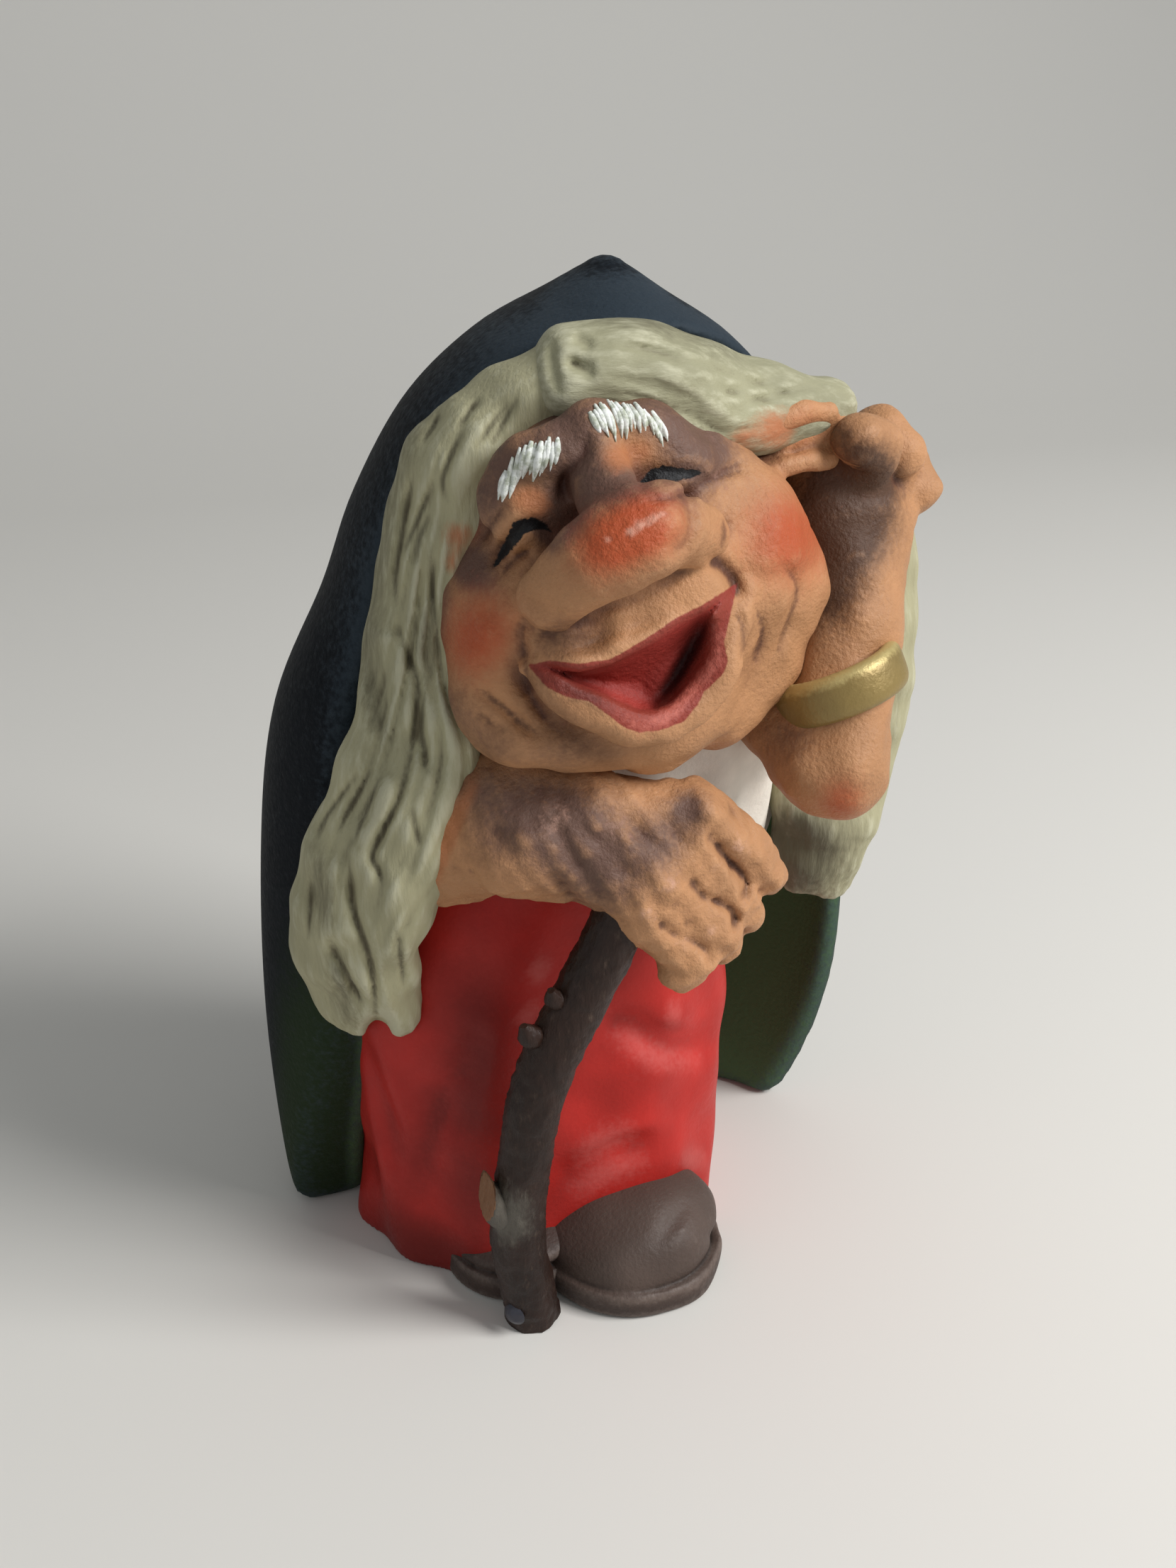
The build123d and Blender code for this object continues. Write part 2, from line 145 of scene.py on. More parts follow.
def line_gap(column, row, line, closed=False):
    """The distance in pixels from points of the photograph to a line, and their place along it, from 0 to 1."""
    line = np.asarray(line, float)
    ends = np.roll(line, -1, axis=0) if closed else line[1:]
    gap, place, run = np.full(column.shape, 1e6), np.zeros(column.shape), 0.0
    for (x0, y0), (x1, y1) in zip(line, ends):
        length = math.hypot(x1 - x0, y1 - y0)
        along = np.clip(((column - x0) * (x1 - x0) + (row - y0) * (y1 - y0)) / length ** 2, 0, 1)
        here = np.hypot(column - x0 - along * (x1 - x0), row - y0 - along * (y1 - y0))
        place = np.where(here < gap, run + along * length, place)
        gap = np.minimum(gap, here)
        run += length
    return gap, place / run


def outline_gap(column, row, outline):
    """The distance in pixels to a closed outline in the photograph, negative inside it."""
    inside = np.zeros(column.shape, bool)
    for (x0, y0), (x1, y1) in zip(outline, np.roll(outline, -1, axis=0)):
        if y0 != y1:
            inside ^= ((y0 > row) != (y1 > row)) & (column < (x1 - x0) * (row - y0) / (y1 - y0) + x0)
    return np.where(inside, -1, 1) * line_gap(column, row, outline, closed=True)[0]


print("a curve through 3 points has", len(curve([(0, 0), (1, 1), (2, 0)])), "points")

# %% The clay


class Clay:
    """A block of clay in a box of the figure's frame, in mm."""

    # All in mm: the distance that stands for empty air, how far from a surface its distances are kept, how deep a
    # press is felt, and how far from the camera the figure begins and ends.
    FAR = 30.0
    MARGIN = 3.0
    PRESS_REACH = 6.0
    SIGHT = (180, 320)
    # How many waves one kneading leaves, and how far in cells a corner may move to reach the surface.
    WAVES = 9
    SNAP = 0.6

    def __init__(self, low, high, grain):
        self.low = np.asarray(low, float)
        self.grain = grain
        counts = np.ceil((np.asarray(high, float) - self.low) / grain).astype(int) + 1
        self.axes = [(self.low[k] + grain * np.arange(counts[k])).astype(np.float32) for k in range(3)]
        self.field = np.full(counts, self.FAR, np.float32)

    def part(self, low, high):
        """The slices of the grid between two corners, and the coordinates there."""
        first = np.clip(np.floor((low - self.low) / self.grain).astype(int), 0, None)
        last = np.clip(np.ceil((high - self.low) / self.grain).astype(int) + 1, 0, self.field.shape)
        slices = tuple(slice(a, max(a, b)) for a, b in zip(first, last))
        x, y, z = (axis[cut] for axis, cut in zip(self.axes, slices))
        return slices, (x[:, None, None], y[None, :, None], z[None, None, :])

    def join(self, slices, gap, soft=0.0, cut=False):
        """Adds a form to the clay, or takes it away."""
        if cut:
            self.field[slices] = -soft_min(-self.field[slices], gap, soft)
        else:
            self.field[slices] = soft_min(self.field[slices], gap, soft)

    def rod(self, line, radii, soft=0.0, cut=False, flutes=0, flute_depth=0.0):
        """A round rod along a line. Flutes are fine ridges that run along it, as on a lock of hair."""
        line = np.asarray(line, float)
        radii = np.broadcast_to(radii, len(line)).astype(float)
        reach = radii.max() + soft + self.MARGIN
        whole, _ = self.part(line.min(0) - reach, line.max(0) + reach)
        scratch = np.full(self.field.shape, self.FAR, np.float32) if flutes or len(line) > 2 else None
        for a, b, start, stop in zip(line, line[1:], radii, radii[1:]):
            slices, (x, y, z) = self.part(np.minimum(a, b) - reach, np.maximum(a, b) + reach)
            span = b - a
            away = [x - a[0], y - a[1], z - a[2]]
            along = np.clip(sum(c * s for c, s in zip(away, span)) / (span @ span), 0, 1)
            off = [c - along * s for c, s in zip(away, span)]
            gap = np.sqrt(sum(c ** 2 for c in off)) - start - (stop - start) * along
            if flutes:
                across = unit(np.cross(span, (0.0, 1.0, 0.0)))
                level = np.cross(across, span) / np.linalg.norm(span)
                angle = np.arctan2(*(sum(c * d for c, d in zip(off, axis)) for axis in (level, across)))
                gap = gap + flute_depth * np.cos(flutes * angle)
            if scratch is None:
                self.join(slices, gap.astype(np.float32), soft, cut)
            else:
                scratch[slices] = np.minimum(scratch[slices], gap)
        if scratch is not None:
            self.join(whole, scratch[whole], soft, cut)

    def egg(self, centre, radii, turn=(0, 0, 0), soft=0.0, cut=False):
        """An egg-shaped lump, turned about X, Y and Z by degrees."""
        centre = np.asarray(centre, float)
        radii = np.broadcast_to(radii, 3).astype(float)
        reach = radii.max() + soft + self.MARGIN
        slices, (x, y, z) = self.part(centre - reach, centre + reach)
        spin = Matrix.Identity(3)
        for degrees, axis in zip(turn, "XYZ"):
            spin = Matrix.Rotation(math.radians(degrees), 3, axis) @ spin
        spin = np.array(spin)
        local = [spin[0, k] * (x - centre[0]) + spin[1, k] * (y - centre[1]) + spin[2, k] * (z - centre[2])
                 for k in range(3)]
        near = np.sqrt(sum((c / r) ** 2 for c, r in zip(local, radii)))
        steep = np.sqrt(sum((c / r ** 2) ** 2 for c, r in zip(local, radii)))
        self.join(slices, (near * (near - 1) / np.maximum(steep, 1e-6)).astype(np.float32), soft, cut)

    def heap(self, lumps):
        """Joins lumps in turn. Each is a place or a line, its radii, and how softly it joins."""
        for shape, radii, soft in lumps:
            form = self.egg if np.ndim(shape) == 1 else self.rod
            form(shape, radii, soft=soft)

    def bell(self, sections, origin=(0, 0, 0), lean=0.0, power=2.0, ripple=None):
        """The distance to a body of oval sections (height, x, y, half width, half depth), leaning by degrees."""
        table = np.asarray(sections, float)
        x, y, z = np.meshgrid(*[axis - o for axis, o in zip(self.axes, origin)], indexing="ij", sparse=True)
        tilt = math.radians(lean)
        side = x * math.cos(tilt) + z * math.sin(tilt)
        height = z * math.cos(tilt) - x * math.sin(tilt)
        fine = curve(table, 8)
        middle_x, middle_y, wide, deep = (np.interp(height, fine[:, 0], fine[:, k]) for k in range(1, 5))
        p, q = (side - middle_x) / wide, (y - middle_y) / deep
        around = np.abs(p) ** power + np.abs(q) ** power
        gap = (around ** (1 / power) - 1) * np.minimum(wide, deep)
        if ripple:
            squared = [np.sign(c) * np.abs(c) ** (power / 2) for c in (q, p)]
            gap = gap - ripple(np.arctan2(*squared), height)
        caps = np.maximum(fine[0, 0] - height, height - fine[-1, 0])
        return np.maximum(gap, caps).astype(np.float32)

    def seen(self, line, reach, band, behind):
        """The grid points near the surface that the photograph shows near a line, with their pixels."""
        if not hasattr(self, "pixels"):
            x, y, z = np.meshgrid(*self.axes, indexing="ij", sparse=True)
            self.pixels = [np.asarray(p, np.float32) for p in in_photo(x, y, z)]
        column, row, pixel = self.pixels
        line = np.asarray(line, float)
        span = reach / pixel.min()
        low, high = line.min(0) - span, line.max(0) + span
        near = (np.abs(self.field) < band) & (column > low[0]) & (column < high[0])
        near &= (row > low[1]) & (row < high[1]) & (self.axes[1][None, :, None] < behind)
        return near, column[near], row[near], pixel[near]

    def press(self, line, width, depth, behind=-8.0, taper=4.0):
        """Presses a groove along a line of the photograph, or raises a ridge where the depth is negative."""
        near, column, row, pixel = self.seen(line, 3 * width, self.PRESS_REACH, behind)
        gap, place = line_gap(column, row, line)
        fade = np.sin(math.pi / 2 * np.clip(np.minimum(place, 1 - place) * taper, 0, 1)) if taper else 1.0
        self.field[near] += depth * fade * np.exp(-(gap * pixel / width) ** 2)

    def draw(self, marks, behind=-8.0):
        """Presses in marks. Each is its lines, a width and a depth in mm, and a taper, 0 for none."""
        for lines, width, depth, taper in marks:
            for line in lines:
                self.press(curve(line), width, depth, behind, taper)

    def knead(self, size, height, seed):
        """Leaves the soft dents of fingers: waves of about this size in mm, in chance directions."""
        rng = np.random.default_rng(seed)
        near = np.abs(self.field) < self.MARGIN
        grid = np.meshgrid(*self.axes, indexing="ij", sparse=True)
        places = [np.broadcast_to(axis, self.field.shape)[near] for axis in grid]
        for _ in range(self.WAVES):
            heading = rng.normal(size=3)
            heading = heading * 2 * math.pi / (size * rng.uniform(0.7, 1.4) * np.linalg.norm(heading))
            phase = sum(place * turn for place, turn in zip(places, heading)) + rng.uniform(0, 6.3)
            self.field[near] += height / 3 * np.sin(phase).astype(np.float32)

    def sink(self, outline, depth, slope, behind=-8.0):
        """Sinks what lies inside an outline of the photograph, with sloping walls."""
        near, column, row, pixel = self.seen(outline, 1.0, depth + self.PRESS_REACH, behind)
        inside = -outline_gap(column, row, outline) * pixel
        self.field[near] += depth * np.tanh(np.clip(inside * slope / depth, 0, None))

    def touch(self, pixels, rise=0.0):
        """Where the lines of sight through pixels meet the clay, lifted towards the camera by this many mm."""
        column, row = np.asarray(pixels, float).T
        sight = AHEAD + np.outer((column - PHOTO_WIDTH / 2) / FOCAL_PIXELS, ASIDE)
        sight = sight - np.outer((row - PHOTO_HEIGHT / 2) / FOCAL_PIXELS, ABOVE)
        far = np.arange(*self.SIGHT, self.grain / 2)
        places = CAMERA_PLACE + sight[:, None, :] * far[None, :, None]
        grid = (places - self.low) / self.grain
        kept = np.all((grid > 0) & (grid < np.array(self.field.shape) - 1), axis=-1)
        depth = np.where(kept, self.sample(self.field, grid.reshape(-1, 3)).reshape(kept.shape), self.FAR)
        first = np.argmax(depth < 0, axis=1)
        return places[np.arange(len(places)), first] - rise * AHEAD

    def sample(self, grid, places):
        """Values of a grid at places between its points."""
        base = np.clip(np.floor(places).astype(int), 0, np.array(grid.shape) - 2)
        part = places - base
        value = 0.0
        for corner in np.ndindex(2, 2, 2):
            weight = np.prod(np.where(np.array(corner), part, 1 - part), axis=1)
            value = value + weight * grid[tuple((base + corner).T)]
        return value

    def blurred(self, radius):
        """The field, kept within a few mm of the surface and blurred over a radius in mm."""
        field = np.clip(self.field, -4 * radius, 4 * radius).astype(np.float64)
        steps = max(1, round(radius / self.grain))
        for axis in range(3):
            for _ in range(2):
                ends = [(0, 0)] * 3
                ends[axis] = (steps + 1, steps)
                total = np.cumsum(np.pad(field, ends, mode="edge"), axis=axis)
                size = field.shape[axis]
                upper = np.take(total, np.arange(2 * steps + 1, 2 * steps + 1 + size), axis=axis)
                lower = np.take(total, np.arange(size), axis=axis)
                field = (upper - lower) / (2 * steps + 1)
        return field

    def skin(self):
        """The surface as corners and quads, by one corner in each cell that the surface crosses."""
        cells = [n - 1 for n in self.field.shape]
        ids, places, flips = [], [], []
        for axis in range(3):
            first = self.field[tuple(slice(None, -1) if k == axis else slice(None) for k in range(3))]
            second = self.field[tuple(slice(1, None) if k == axis else slice(None) for k in range(3))]
            crossed = (first < 0) != (second < 0)
            edge = np.argwhere(crossed)
            place = edge.astype(float)
            place[:, axis] += first[crossed] / (first[crossed] - second[crossed])
            sides = [k for k in range(3) if k != axis]
            ring = []
            for back in ((1, 1), (0, 1), (0, 0), (1, 0)):
                cell = edge.copy()
                cell[:, sides] -= back
                ring.append(np.ravel_multi_index(cell.T, cells))
            ids.append(np.stack(ring, 1))
            places.append(np.repeat(place[:, None, :], 4, axis=1))
            flips.append((first[crossed] < 0) != (axis == 1))
        ids, places, flips = np.concatenate(ids), np.concatenate(places), np.concatenate(flips)
        _, corner = np.unique(ids.ravel(), return_inverse=True)
        share = np.bincount(corner)
        flat = places.reshape(-1, 3)
        spots = np.stack([np.bincount(corner, flat[:, k]) / share for k in range(3)], 1)
        quads = corner.reshape(-1, 4)
        quads = np.where(flips[:, None], quads, quads[:, ::-1])
        slopes = np.gradient(self.field)
        for _ in range(2):
            lean = np.stack([self.sample(s, spots) for s in slopes], 1)
            slope = np.maximum((lean ** 2).sum(1), 1e-3)
            fall = np.clip(self.sample(self.field, spots) / slope, -self.SNAP, self.SNAP)
            spots = spots - fall[:, None] * lean
        self.normals = lean / np.maximum(np.linalg.norm(lean, axis=1), 1e-6)[:, None]
        self.spots = spots
        self.corners = self.low + spots * self.grain
        return self.corners, quads


GRAIN = 0.5
print("the clay's grain is", GRAIN, "mm")

# %% [markdown]
# ## From clay to a painted piece
#
# A finished lump becomes a mesh that rides on the body of the part and stands for its CAD node. Colours could be
# painted on an image, but that needs an unwrapped mesh and a file. So each corner keeps a few numbers for the
# painter: how deep it lies in a crease, and how close it is to a painted spot, stroke or outline.

# %% Where paint goes
EDGE_ON = 0.15
# How fast a spray fades where the surface turns away, and how much of it lies edge on.
SPRAY_TURN, SPRAY_EDGE_ON = 3, 0.8


def spots_near(clay, spots):
    """A soft spray of paint: each spot is a column, a row, a radius in pixels and a strength."""
    column, row, _ = in_photo(*clay.corners.T)
    facing = np.clip(-(clay.normals @ AHEAD) * SPRAY_TURN + SPRAY_EDGE_ON, 0, 1)
    spray = sum(strength * np.exp(-((column - x) ** 2 + (row - y) ** 2) / radius ** 2)
                for x, y, radius, strength in spots)
    return np.clip(spray, 0, 1) * facing


def strokes(clay, lines, width):
    """Brush strokes along lines of the photograph, fading out over a width in mm and at their ends."""
    column, row, pixel = in_photo(*clay.corners.T)
    cover = np.zeros(len(column))
    for line in lines:
        gap, place = line_gap(column, row, curve(line))
        cover = np.maximum(cover, np.sin(math.pi * place) ** 0.5 * np.exp(-(gap * pixel / width) ** 2))
    return np.where(clay.normals @ AHEAD < EDGE_ON, cover, 0)


def inside(clay, outlines):
    """How many mm a corner lies inside the nearest painted outline, plus one, and 0 where it is far outside."""
    column, row, pixel = in_photo(*clay.corners.T)
    gap = np.min([outline_gap(column, row, np.asarray(o, float)) for o in outlines], axis=0) * pixel
    return np.where(clay.normals @ AHEAD < EDGE_ON, np.clip(1 - gap, 0, None), 0)


print("paint reaches what is turned to the camera, and", EDGE_ON, "past edge on")

# %% Finishing a piece
CREASE_RADIUS = 1.2
BROAD_RADIUS = 3.5


def mark(mesh, coat, values):
    """Keeps a number for the painter at each corner of a mesh."""
    mesh.attributes.new(coat, "FLOAT", "POINT").data.foreach_set("value", np.asarray(values, np.float32))


def placed(name, mesh, node=None):
    """Makes a mesh a piece that rides on the part's one body, and stands for a CAD node if it has one."""
    mesh.shade_smooth()
    piece = bpy.data.objects.new(name, mesh)
    bpy.context.collection.objects.link(piece)
    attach(piece, "root")
    if node:
        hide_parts(node)
    return piece


def finished(clay, name, node, material, sprays=(), brushed=(), filled=(), more=None):
    """Turns clay into a piece, with coats of sprays, strokes (lines, width, strength) and filled outlines."""
    corners, quads = clay.skin()
    mesh = bpy.data.meshes.new(name)
    mesh.from_pydata((corners * MM).tolist(), [], quads.tolist())
    mesh.materials.append(material)
    # How deep each corner lies in a fine crease and in a broad hollow, negative on ridges. The dark coats over these
    # numbers paint a wash together with painted shade.
    coats = {"crease": -clay.sample(clay.blurred(CREASE_RADIUS), clay.spots),
             "hollow": -clay.sample(clay.blurred(BROAD_RADIUS), clay.spots)}
    for coat, spots in dict(sprays).items():
        coats[coat] = spots_near(clay, spots)
    for coat, rows in dict(brushed).items():
        for lines, width, strength in rows:
            coats[coat] = np.maximum(coats.get(coat, 0), strength * strokes(clay, lines, width))
    for coat, outlines in dict(filled).items():
        coats[coat] = inside(clay, outlines)
    coats.update(more(clay) if more else {})
    for coat, values in coats.items():
        mark(mesh, coat, values)
    placed(name, mesh, node)
    print(name, len(quads), "quads, crease", np.round(np.percentile(coats["crease"], (2, 50, 98)), 2))


# %% [markdown]
# ## Paints
#
# All the paints are thick and matte, brushed on by hand over a casting with fine pits. A plain colour on each piece
# would look like plastic, and a material built anew for each would repeat the same nodes. So one function mixes a
# paint: it starts from the base coat and lays each further coat over it where a number of the mesh is high,
# with a ragged edge, because a nearly dry brush leaves gaps. The pits and bristle marks are a fine relief.

# %% The paint box


def linear(hex_colour):
    """An sRGB colour such as C08040 as the linear colour that shaders use."""
    parts = [int(hex_colour[k:k + 2], 16) / 255 for k in (0, 2, 4)]
    return [c / 12.92 if c <= 0.04045 else ((c + 0.055) / 1.055) ** 2.4 for c in parts] + [1.0]


def add(tree, kind, links=(), **settings):
    """Adds a node with its settings, and sets or links its inputs."""
    node = tree.nodes.new(kind)
    for setting, value in settings.items():
        setattr(node, setting, value)
    for socket, value in dict(links).items():
        if isinstance(value, bpy.types.NodeSocket):
            tree.links.new(value, node.inputs[socket])
        else:
            node.inputs[socket].default_value = value
    return node


def remap(tree, value, old, new, **settings):
    """Maps a value from its old range to a new one."""
    links = {"Value": value, "From Min": old[0], "From Max": old[1], "To Min": new[0], "To Max": new[1]}
    return add(tree, "ShaderNodeMapRange", links, **settings).outputs["Result"]


def per_mm(size):
    """The scale of a pattern whose features are this many mm."""
    return 1 / (size * MM)


print("mid grey is", round(linear("808080")[0], 3), "in linear light")

# %% Mixing a paint
MIX_FACTOR, MIX_FIRST, MIX_SECOND, MIX_RESULT = 0, 6, 7, 2
# The sizes in mm of the gaps that a dry brush leaves, and of the broad mottling of a coat.
RAGGED_SIZE, MOTTLE_SIZE = 1.1, 9.0
# A noise is mostly between the first two values, and hardly ever outside the second two.
NOISE_MIDDLE, NOISE_RANGE = (0.3, 0.7), (0.25, 0.75)
GLOSS_SPREAD = 0.08
# No mesh has a number of this name, so it reads as 0, and the ragged edge alone decides where such a coat shows.
ALL_OVER = "all_over"


def paint(name, base, coats, roughness=0.6, pits=0.12, pit_size=0.7, specular=0.3, metallic=0.0, mottle=0.12,
          stretch=(1, 1, 1)):
    """A hand-brushed paint.

    A coat is a mesh number, where it starts and where it is full, its colour, its strength and its raggedness.
    """
    material = bpy.data.materials.new(name)
    material.use_nodes = True
    tree = material.node_tree
    shader = tree.nodes["Principled BSDF"]
    here = add(tree, "ShaderNodeTexCoord").outputs["Object"]
    place = add(tree, "ShaderNodeMapping", {"Vector": here, "Scale": stretch}).outputs["Vector"]
    ragged = add(tree, "ShaderNodeTexNoise", {"Vector": place, "Scale": per_mm(RAGGED_SIZE), "Detail": 5.0,
                                              "Roughness": 0.65})
    broad = add(tree, "ShaderNodeTexNoise", {"Vector": place, "Scale": per_mm(MOTTLE_SIZE), "Detail": 3.0})
    shade = remap(tree, broad.outputs["Fac"], NOISE_MIDDLE, (1 - mottle, 1 + mottle))
    tint = add(tree, "ShaderNodeHueSaturation", {"Value": shade, "Color": linear(base)})
    colour = tint.outputs["Color"]
    for number, start, full, coat, strength, raggedness in coats:
        value = add(tree, "ShaderNodeAttribute", attribute_name=number).outputs["Fac"]
        shake = remap(tree, ragged.outputs["Fac"], NOISE_RANGE, (-raggedness, raggedness), clamp=False)
        shaken = add(tree, "ShaderNodeMath", {0: value, 1: shake}, operation="ADD").outputs["Value"]
        cover = remap(tree, shaken, (start, full), (0.0, strength), interpolation_type="SMOOTHSTEP")
        mix = add(tree, "ShaderNodeMix", {MIX_FACTOR: cover, MIX_FIRST: colour, MIX_SECOND: linear(coat)},
                  data_type="RGBA")
        colour = mix.outputs[MIX_RESULT]
    tree.links.new(colour, shader.inputs["Base Color"])
    fine = add(tree, "ShaderNodeTexNoise", {"Vector": place, "Scale": per_mm(pit_size), "Detail": 4.0,
                                            "Roughness": 0.6})
    relief = add(tree, "ShaderNodeBump", {"Height": fine.outputs["Fac"], "Distance": pits * MM, "Strength": 1.0})
    tree.links.new(relief.outputs["Normal"], shader.inputs["Normal"])
    gloss = remap(tree, ragged.outputs["Fac"], NOISE_MIDDLE, (roughness - GLOSS_SPREAD, roughness + GLOSS_SPREAD))
    tree.links.new(gloss, shader.inputs["Roughness"])
    shader.inputs["Specular IOR Level"].default_value = specular
    shader.inputs["Metallic"].default_value = metallic
    return material


# %% The paints of the casting
# Brushed skin paint: tan with pits and bristle marks, purple-brown on the brow, orange on cheeks and nose.
skin_paint = paint("brushed_skin_paint", "AC7D57", [
    # Purple-brown wash on the brow, which is also painted shade beside the eyes and nose, under the chin and along
    # the left edge of the face.
    ("wash_and_shade", 0.1, 1.0, "57413B", 0.9, 0.16),
    ("lid", 0.15, 1.0, "AB6A42", 0.75, 0.15),
    ("blush", 0.0, 1.1, "A8421C", 0.9, 0.1),
    # Painted shade in the hollow of the cupped palm, over a dark brown wash.
    ("palm", 0.1, 1.0, "38231A", 0.9, 0.16),
    # Painted shade under the jaw, below the mouth and beside the nose.
    ("shade", 0.0, 1.0, "40200F", 0.8, 0.08),
    # A brown wash that is also painted shade in the broad hollows, the fine creases and the wrinkles.
    ("hollow", 0.15, 1.1, "5E3524", 0.6, 0.15),
    ("crease", 0.05, 0.6, "472B23", 0.8, 0.1),
    ("wrinkle", 0.25, 1.2, "4A2B20", 0.6, 0.35),
    ("crease", -0.1, -0.5, "C3926A", 0.4, 0.1),
    # Painted highlights on the nose and the knuckles.
    ("glint", 0.15, 1.1, "DDAE98", 0.6, 0.4),
    ("lip", 0.85, 1.15, "842E25", 0.95, 0.12),
    # A painted highlight along the crest of the lower lip.
    ("lip_highlight", 0.2, 1.1, "C06C5D", 0.7, 0.4),
    ("mouth", 0.9, 2.0, "A23A32", 0.95, 0.2),
    # Painted shadow in the open mouth and on the left of the lower lip.
    ("mouth_shadow", 0.05, 1.0, "1D0807", 0.95, 0.1),
    ("eye", 0.9, 1.15, "0C0C0F", 1.0, 0.25)], roughness=0.55, pits=0.32, pit_size=0.8)
# Dry-brushed hair paint: pale sage on the ridges over khaki, brown wash with painted shade in the grooves and
# hollows, painted shade under the hood's rim, in streaks along the locks.
HAIR_COATS = [
    ("hollow", 0.15, 1.5, "6A6046", 0.5, 0.25),
    ("crease", 0.02, 0.6, "544B36", 0.75, 0.12),
    ("crease", -0.04, -0.45, "BBB89E", 0.75, 0.2),
    ("shade", 0.05, 1.0, "332B1E", 0.8, 0.2),
    ("flesh", 0.2, 0.9, "B0643C", 0.8, 0.2)]
ALONG_LOCKS, ALONG_FRINGE = (1, 1, 0.2), (0.25, 1, 1)
hair_paint = paint("dry_brushed_hair_paint", "A29D7E", HAIR_COATS, roughness=0.68, pits=0.2, stretch=ALONG_LOCKS)
fringe_paint = paint("dry_brushed_fringe_paint", "928F74", HAIR_COATS, roughness=0.68, pits=0.2,
                     stretch=ALONG_FRINGE)
# Brushed cloak paint: blue-black with a dusty dry brush, green on the lining, the front edges and the hem, and a dark
# wash with painted shade in the creases.
cloak_paint = paint("brushed_cloak_paint", "0C1117", [
    ("green", 0.1, 0.9, "1F2C19", 1.0, 0.15),
    ("lining", 0.3, 0.9, "465F40", 1.0, 0.1),
    ("crease", 0.1, 0.6, "0A0D0B", 0.9, 0.08),
    ("crease", -0.08, -0.5, "36414A", 0.6, 0.2)], roughness=0.65, pits=0.18, pit_size=0.9, specular=0.12)
# Satin skirt paint: red, darker in the folds with a wash and painted shade, painted shadows of the twig and the
# cloak, brushed thin with pale pink and painted highlights on some crests.
skirt_paint = paint("satin_skirt_paint", "AC2620", [
    ("hollow", 0.1, 1.3, "66120D", 0.8, 0.1),
    ("crease", 0.06, 0.6, "5A100C", 0.55, 0.05),
    ("shade", 0.0, 1.1, "480F0A", 0.75, 0.06),
    ("brushed", 0.05, 1.3, "C4655F", 0.45, 0.35)], roughness=0.48, pits=0.07, specular=0.22)
# Off-white blouse paint, with a little brown wash and painted shade in the folds.
blouse_paint = paint("matte_blouse_paint", "E4DCD0", [("crease", 0.1, 0.5, "8A7765", 0.6, 0.06)], roughness=0.6)
# Grey-brown shoe paint, rubbed paler on the edges, darker on the sole, with painted shade over the whole right shoe
# under the skirt and a dark wash with painted shade in the creases.
shoe_paint = paint("rubbed_shoe_paint", "50423B", [
    ("sole_and_shade", 0.1, 1.0, "3A2D28", 0.8, 0.1),
    ("crease", 0.06, 0.5, "1F1713", 0.9, 0.06),
    ("crease", -0.1, -0.5, "766860", 0.6, 0.15)], roughness=0.55, pits=0.16)
# White brow paint, dry-brushed over the green of the hair.
brow_paint = paint("dry_brushed_brow_paint", "A9AE9C", [(ALL_OVER, -0.2, 0.15, "E6E8E4", 0.95, 0.35)],
                   roughness=0.85, pits=0.03, specular=0.1)
print(len(bpy.data.materials), "materials so far")

# %% [markdown]
# ## The head
#
# A laughing face under the hood: eyes squeezed shut, a sausage of a nose and a wide open mouth. It could be pushed
# about by hand in Sculpt Mode, but a script couldn't repeat that. So the skull is a leaning body of oval sections,
# and cheeks, muzzle, nose, brows and lips are lumps that are smoothed into it, one after the other. Wrinkles,
# eyes and mouth are drawn in pixels of the photograph.

# %% Lumps of the head
HEAD_LEAN = 11.5
CHIN = (6.5, 0, 103)
SKULL = [
    (0.5, 0, -32, 6, 8), (3.5, 0, -29.5, 13, 13), (9, 1, -26.5, 21, 18), (17, 2.4, -23, 27.1, 23.5),
    (26, 3.1, -20, 27.4, 26.5), (36, 3.1, -18, 25.4, 26.5), (46, 2, -16, 21.5, 24), (53, 2, -15, 14.5, 18.5),
    (57, 2, -15, 6, 9)]
NOSE = [(-11.5, -48, 132.8), (-6.7, -53.5, 139.2), (-0.1, -53.5, 142.8), (9.7, -45.5, 139.2)]
NOSE_STATIONS, NOSE_SIZES = (0, 0.35, 0.7, 1), (4.9, 6.1, 6.7, 4.2)
NOSE_RADII = np.interp(np.linspace(0, 1, len(curve(NOSE))), NOSE_STATIONS, NOSE_SIZES)
MOUTH_LEFT = (-14.4, -45, 121.9)
MOUTH_RIGHT = (16.5, -41.5, 129.7)
UPPER_LIP = [
    MOUTH_LEFT, (-9.9, -48.5, 123.6), (-5.2, -49.5, 124.8), (1.5, -49, 126.5), (8.3, -46.5, 128.5),
    MOUTH_RIGHT]
LOWER_LIP = [
    MOUTH_LEFT, (-10.7, -48, 119.4), (-4.9, -49.5, 116.2), (0.8, -49.5, 113.6), (7.5, -48, 114.4),
    (12.4, -46, 119.3), MOUTH_RIGHT]
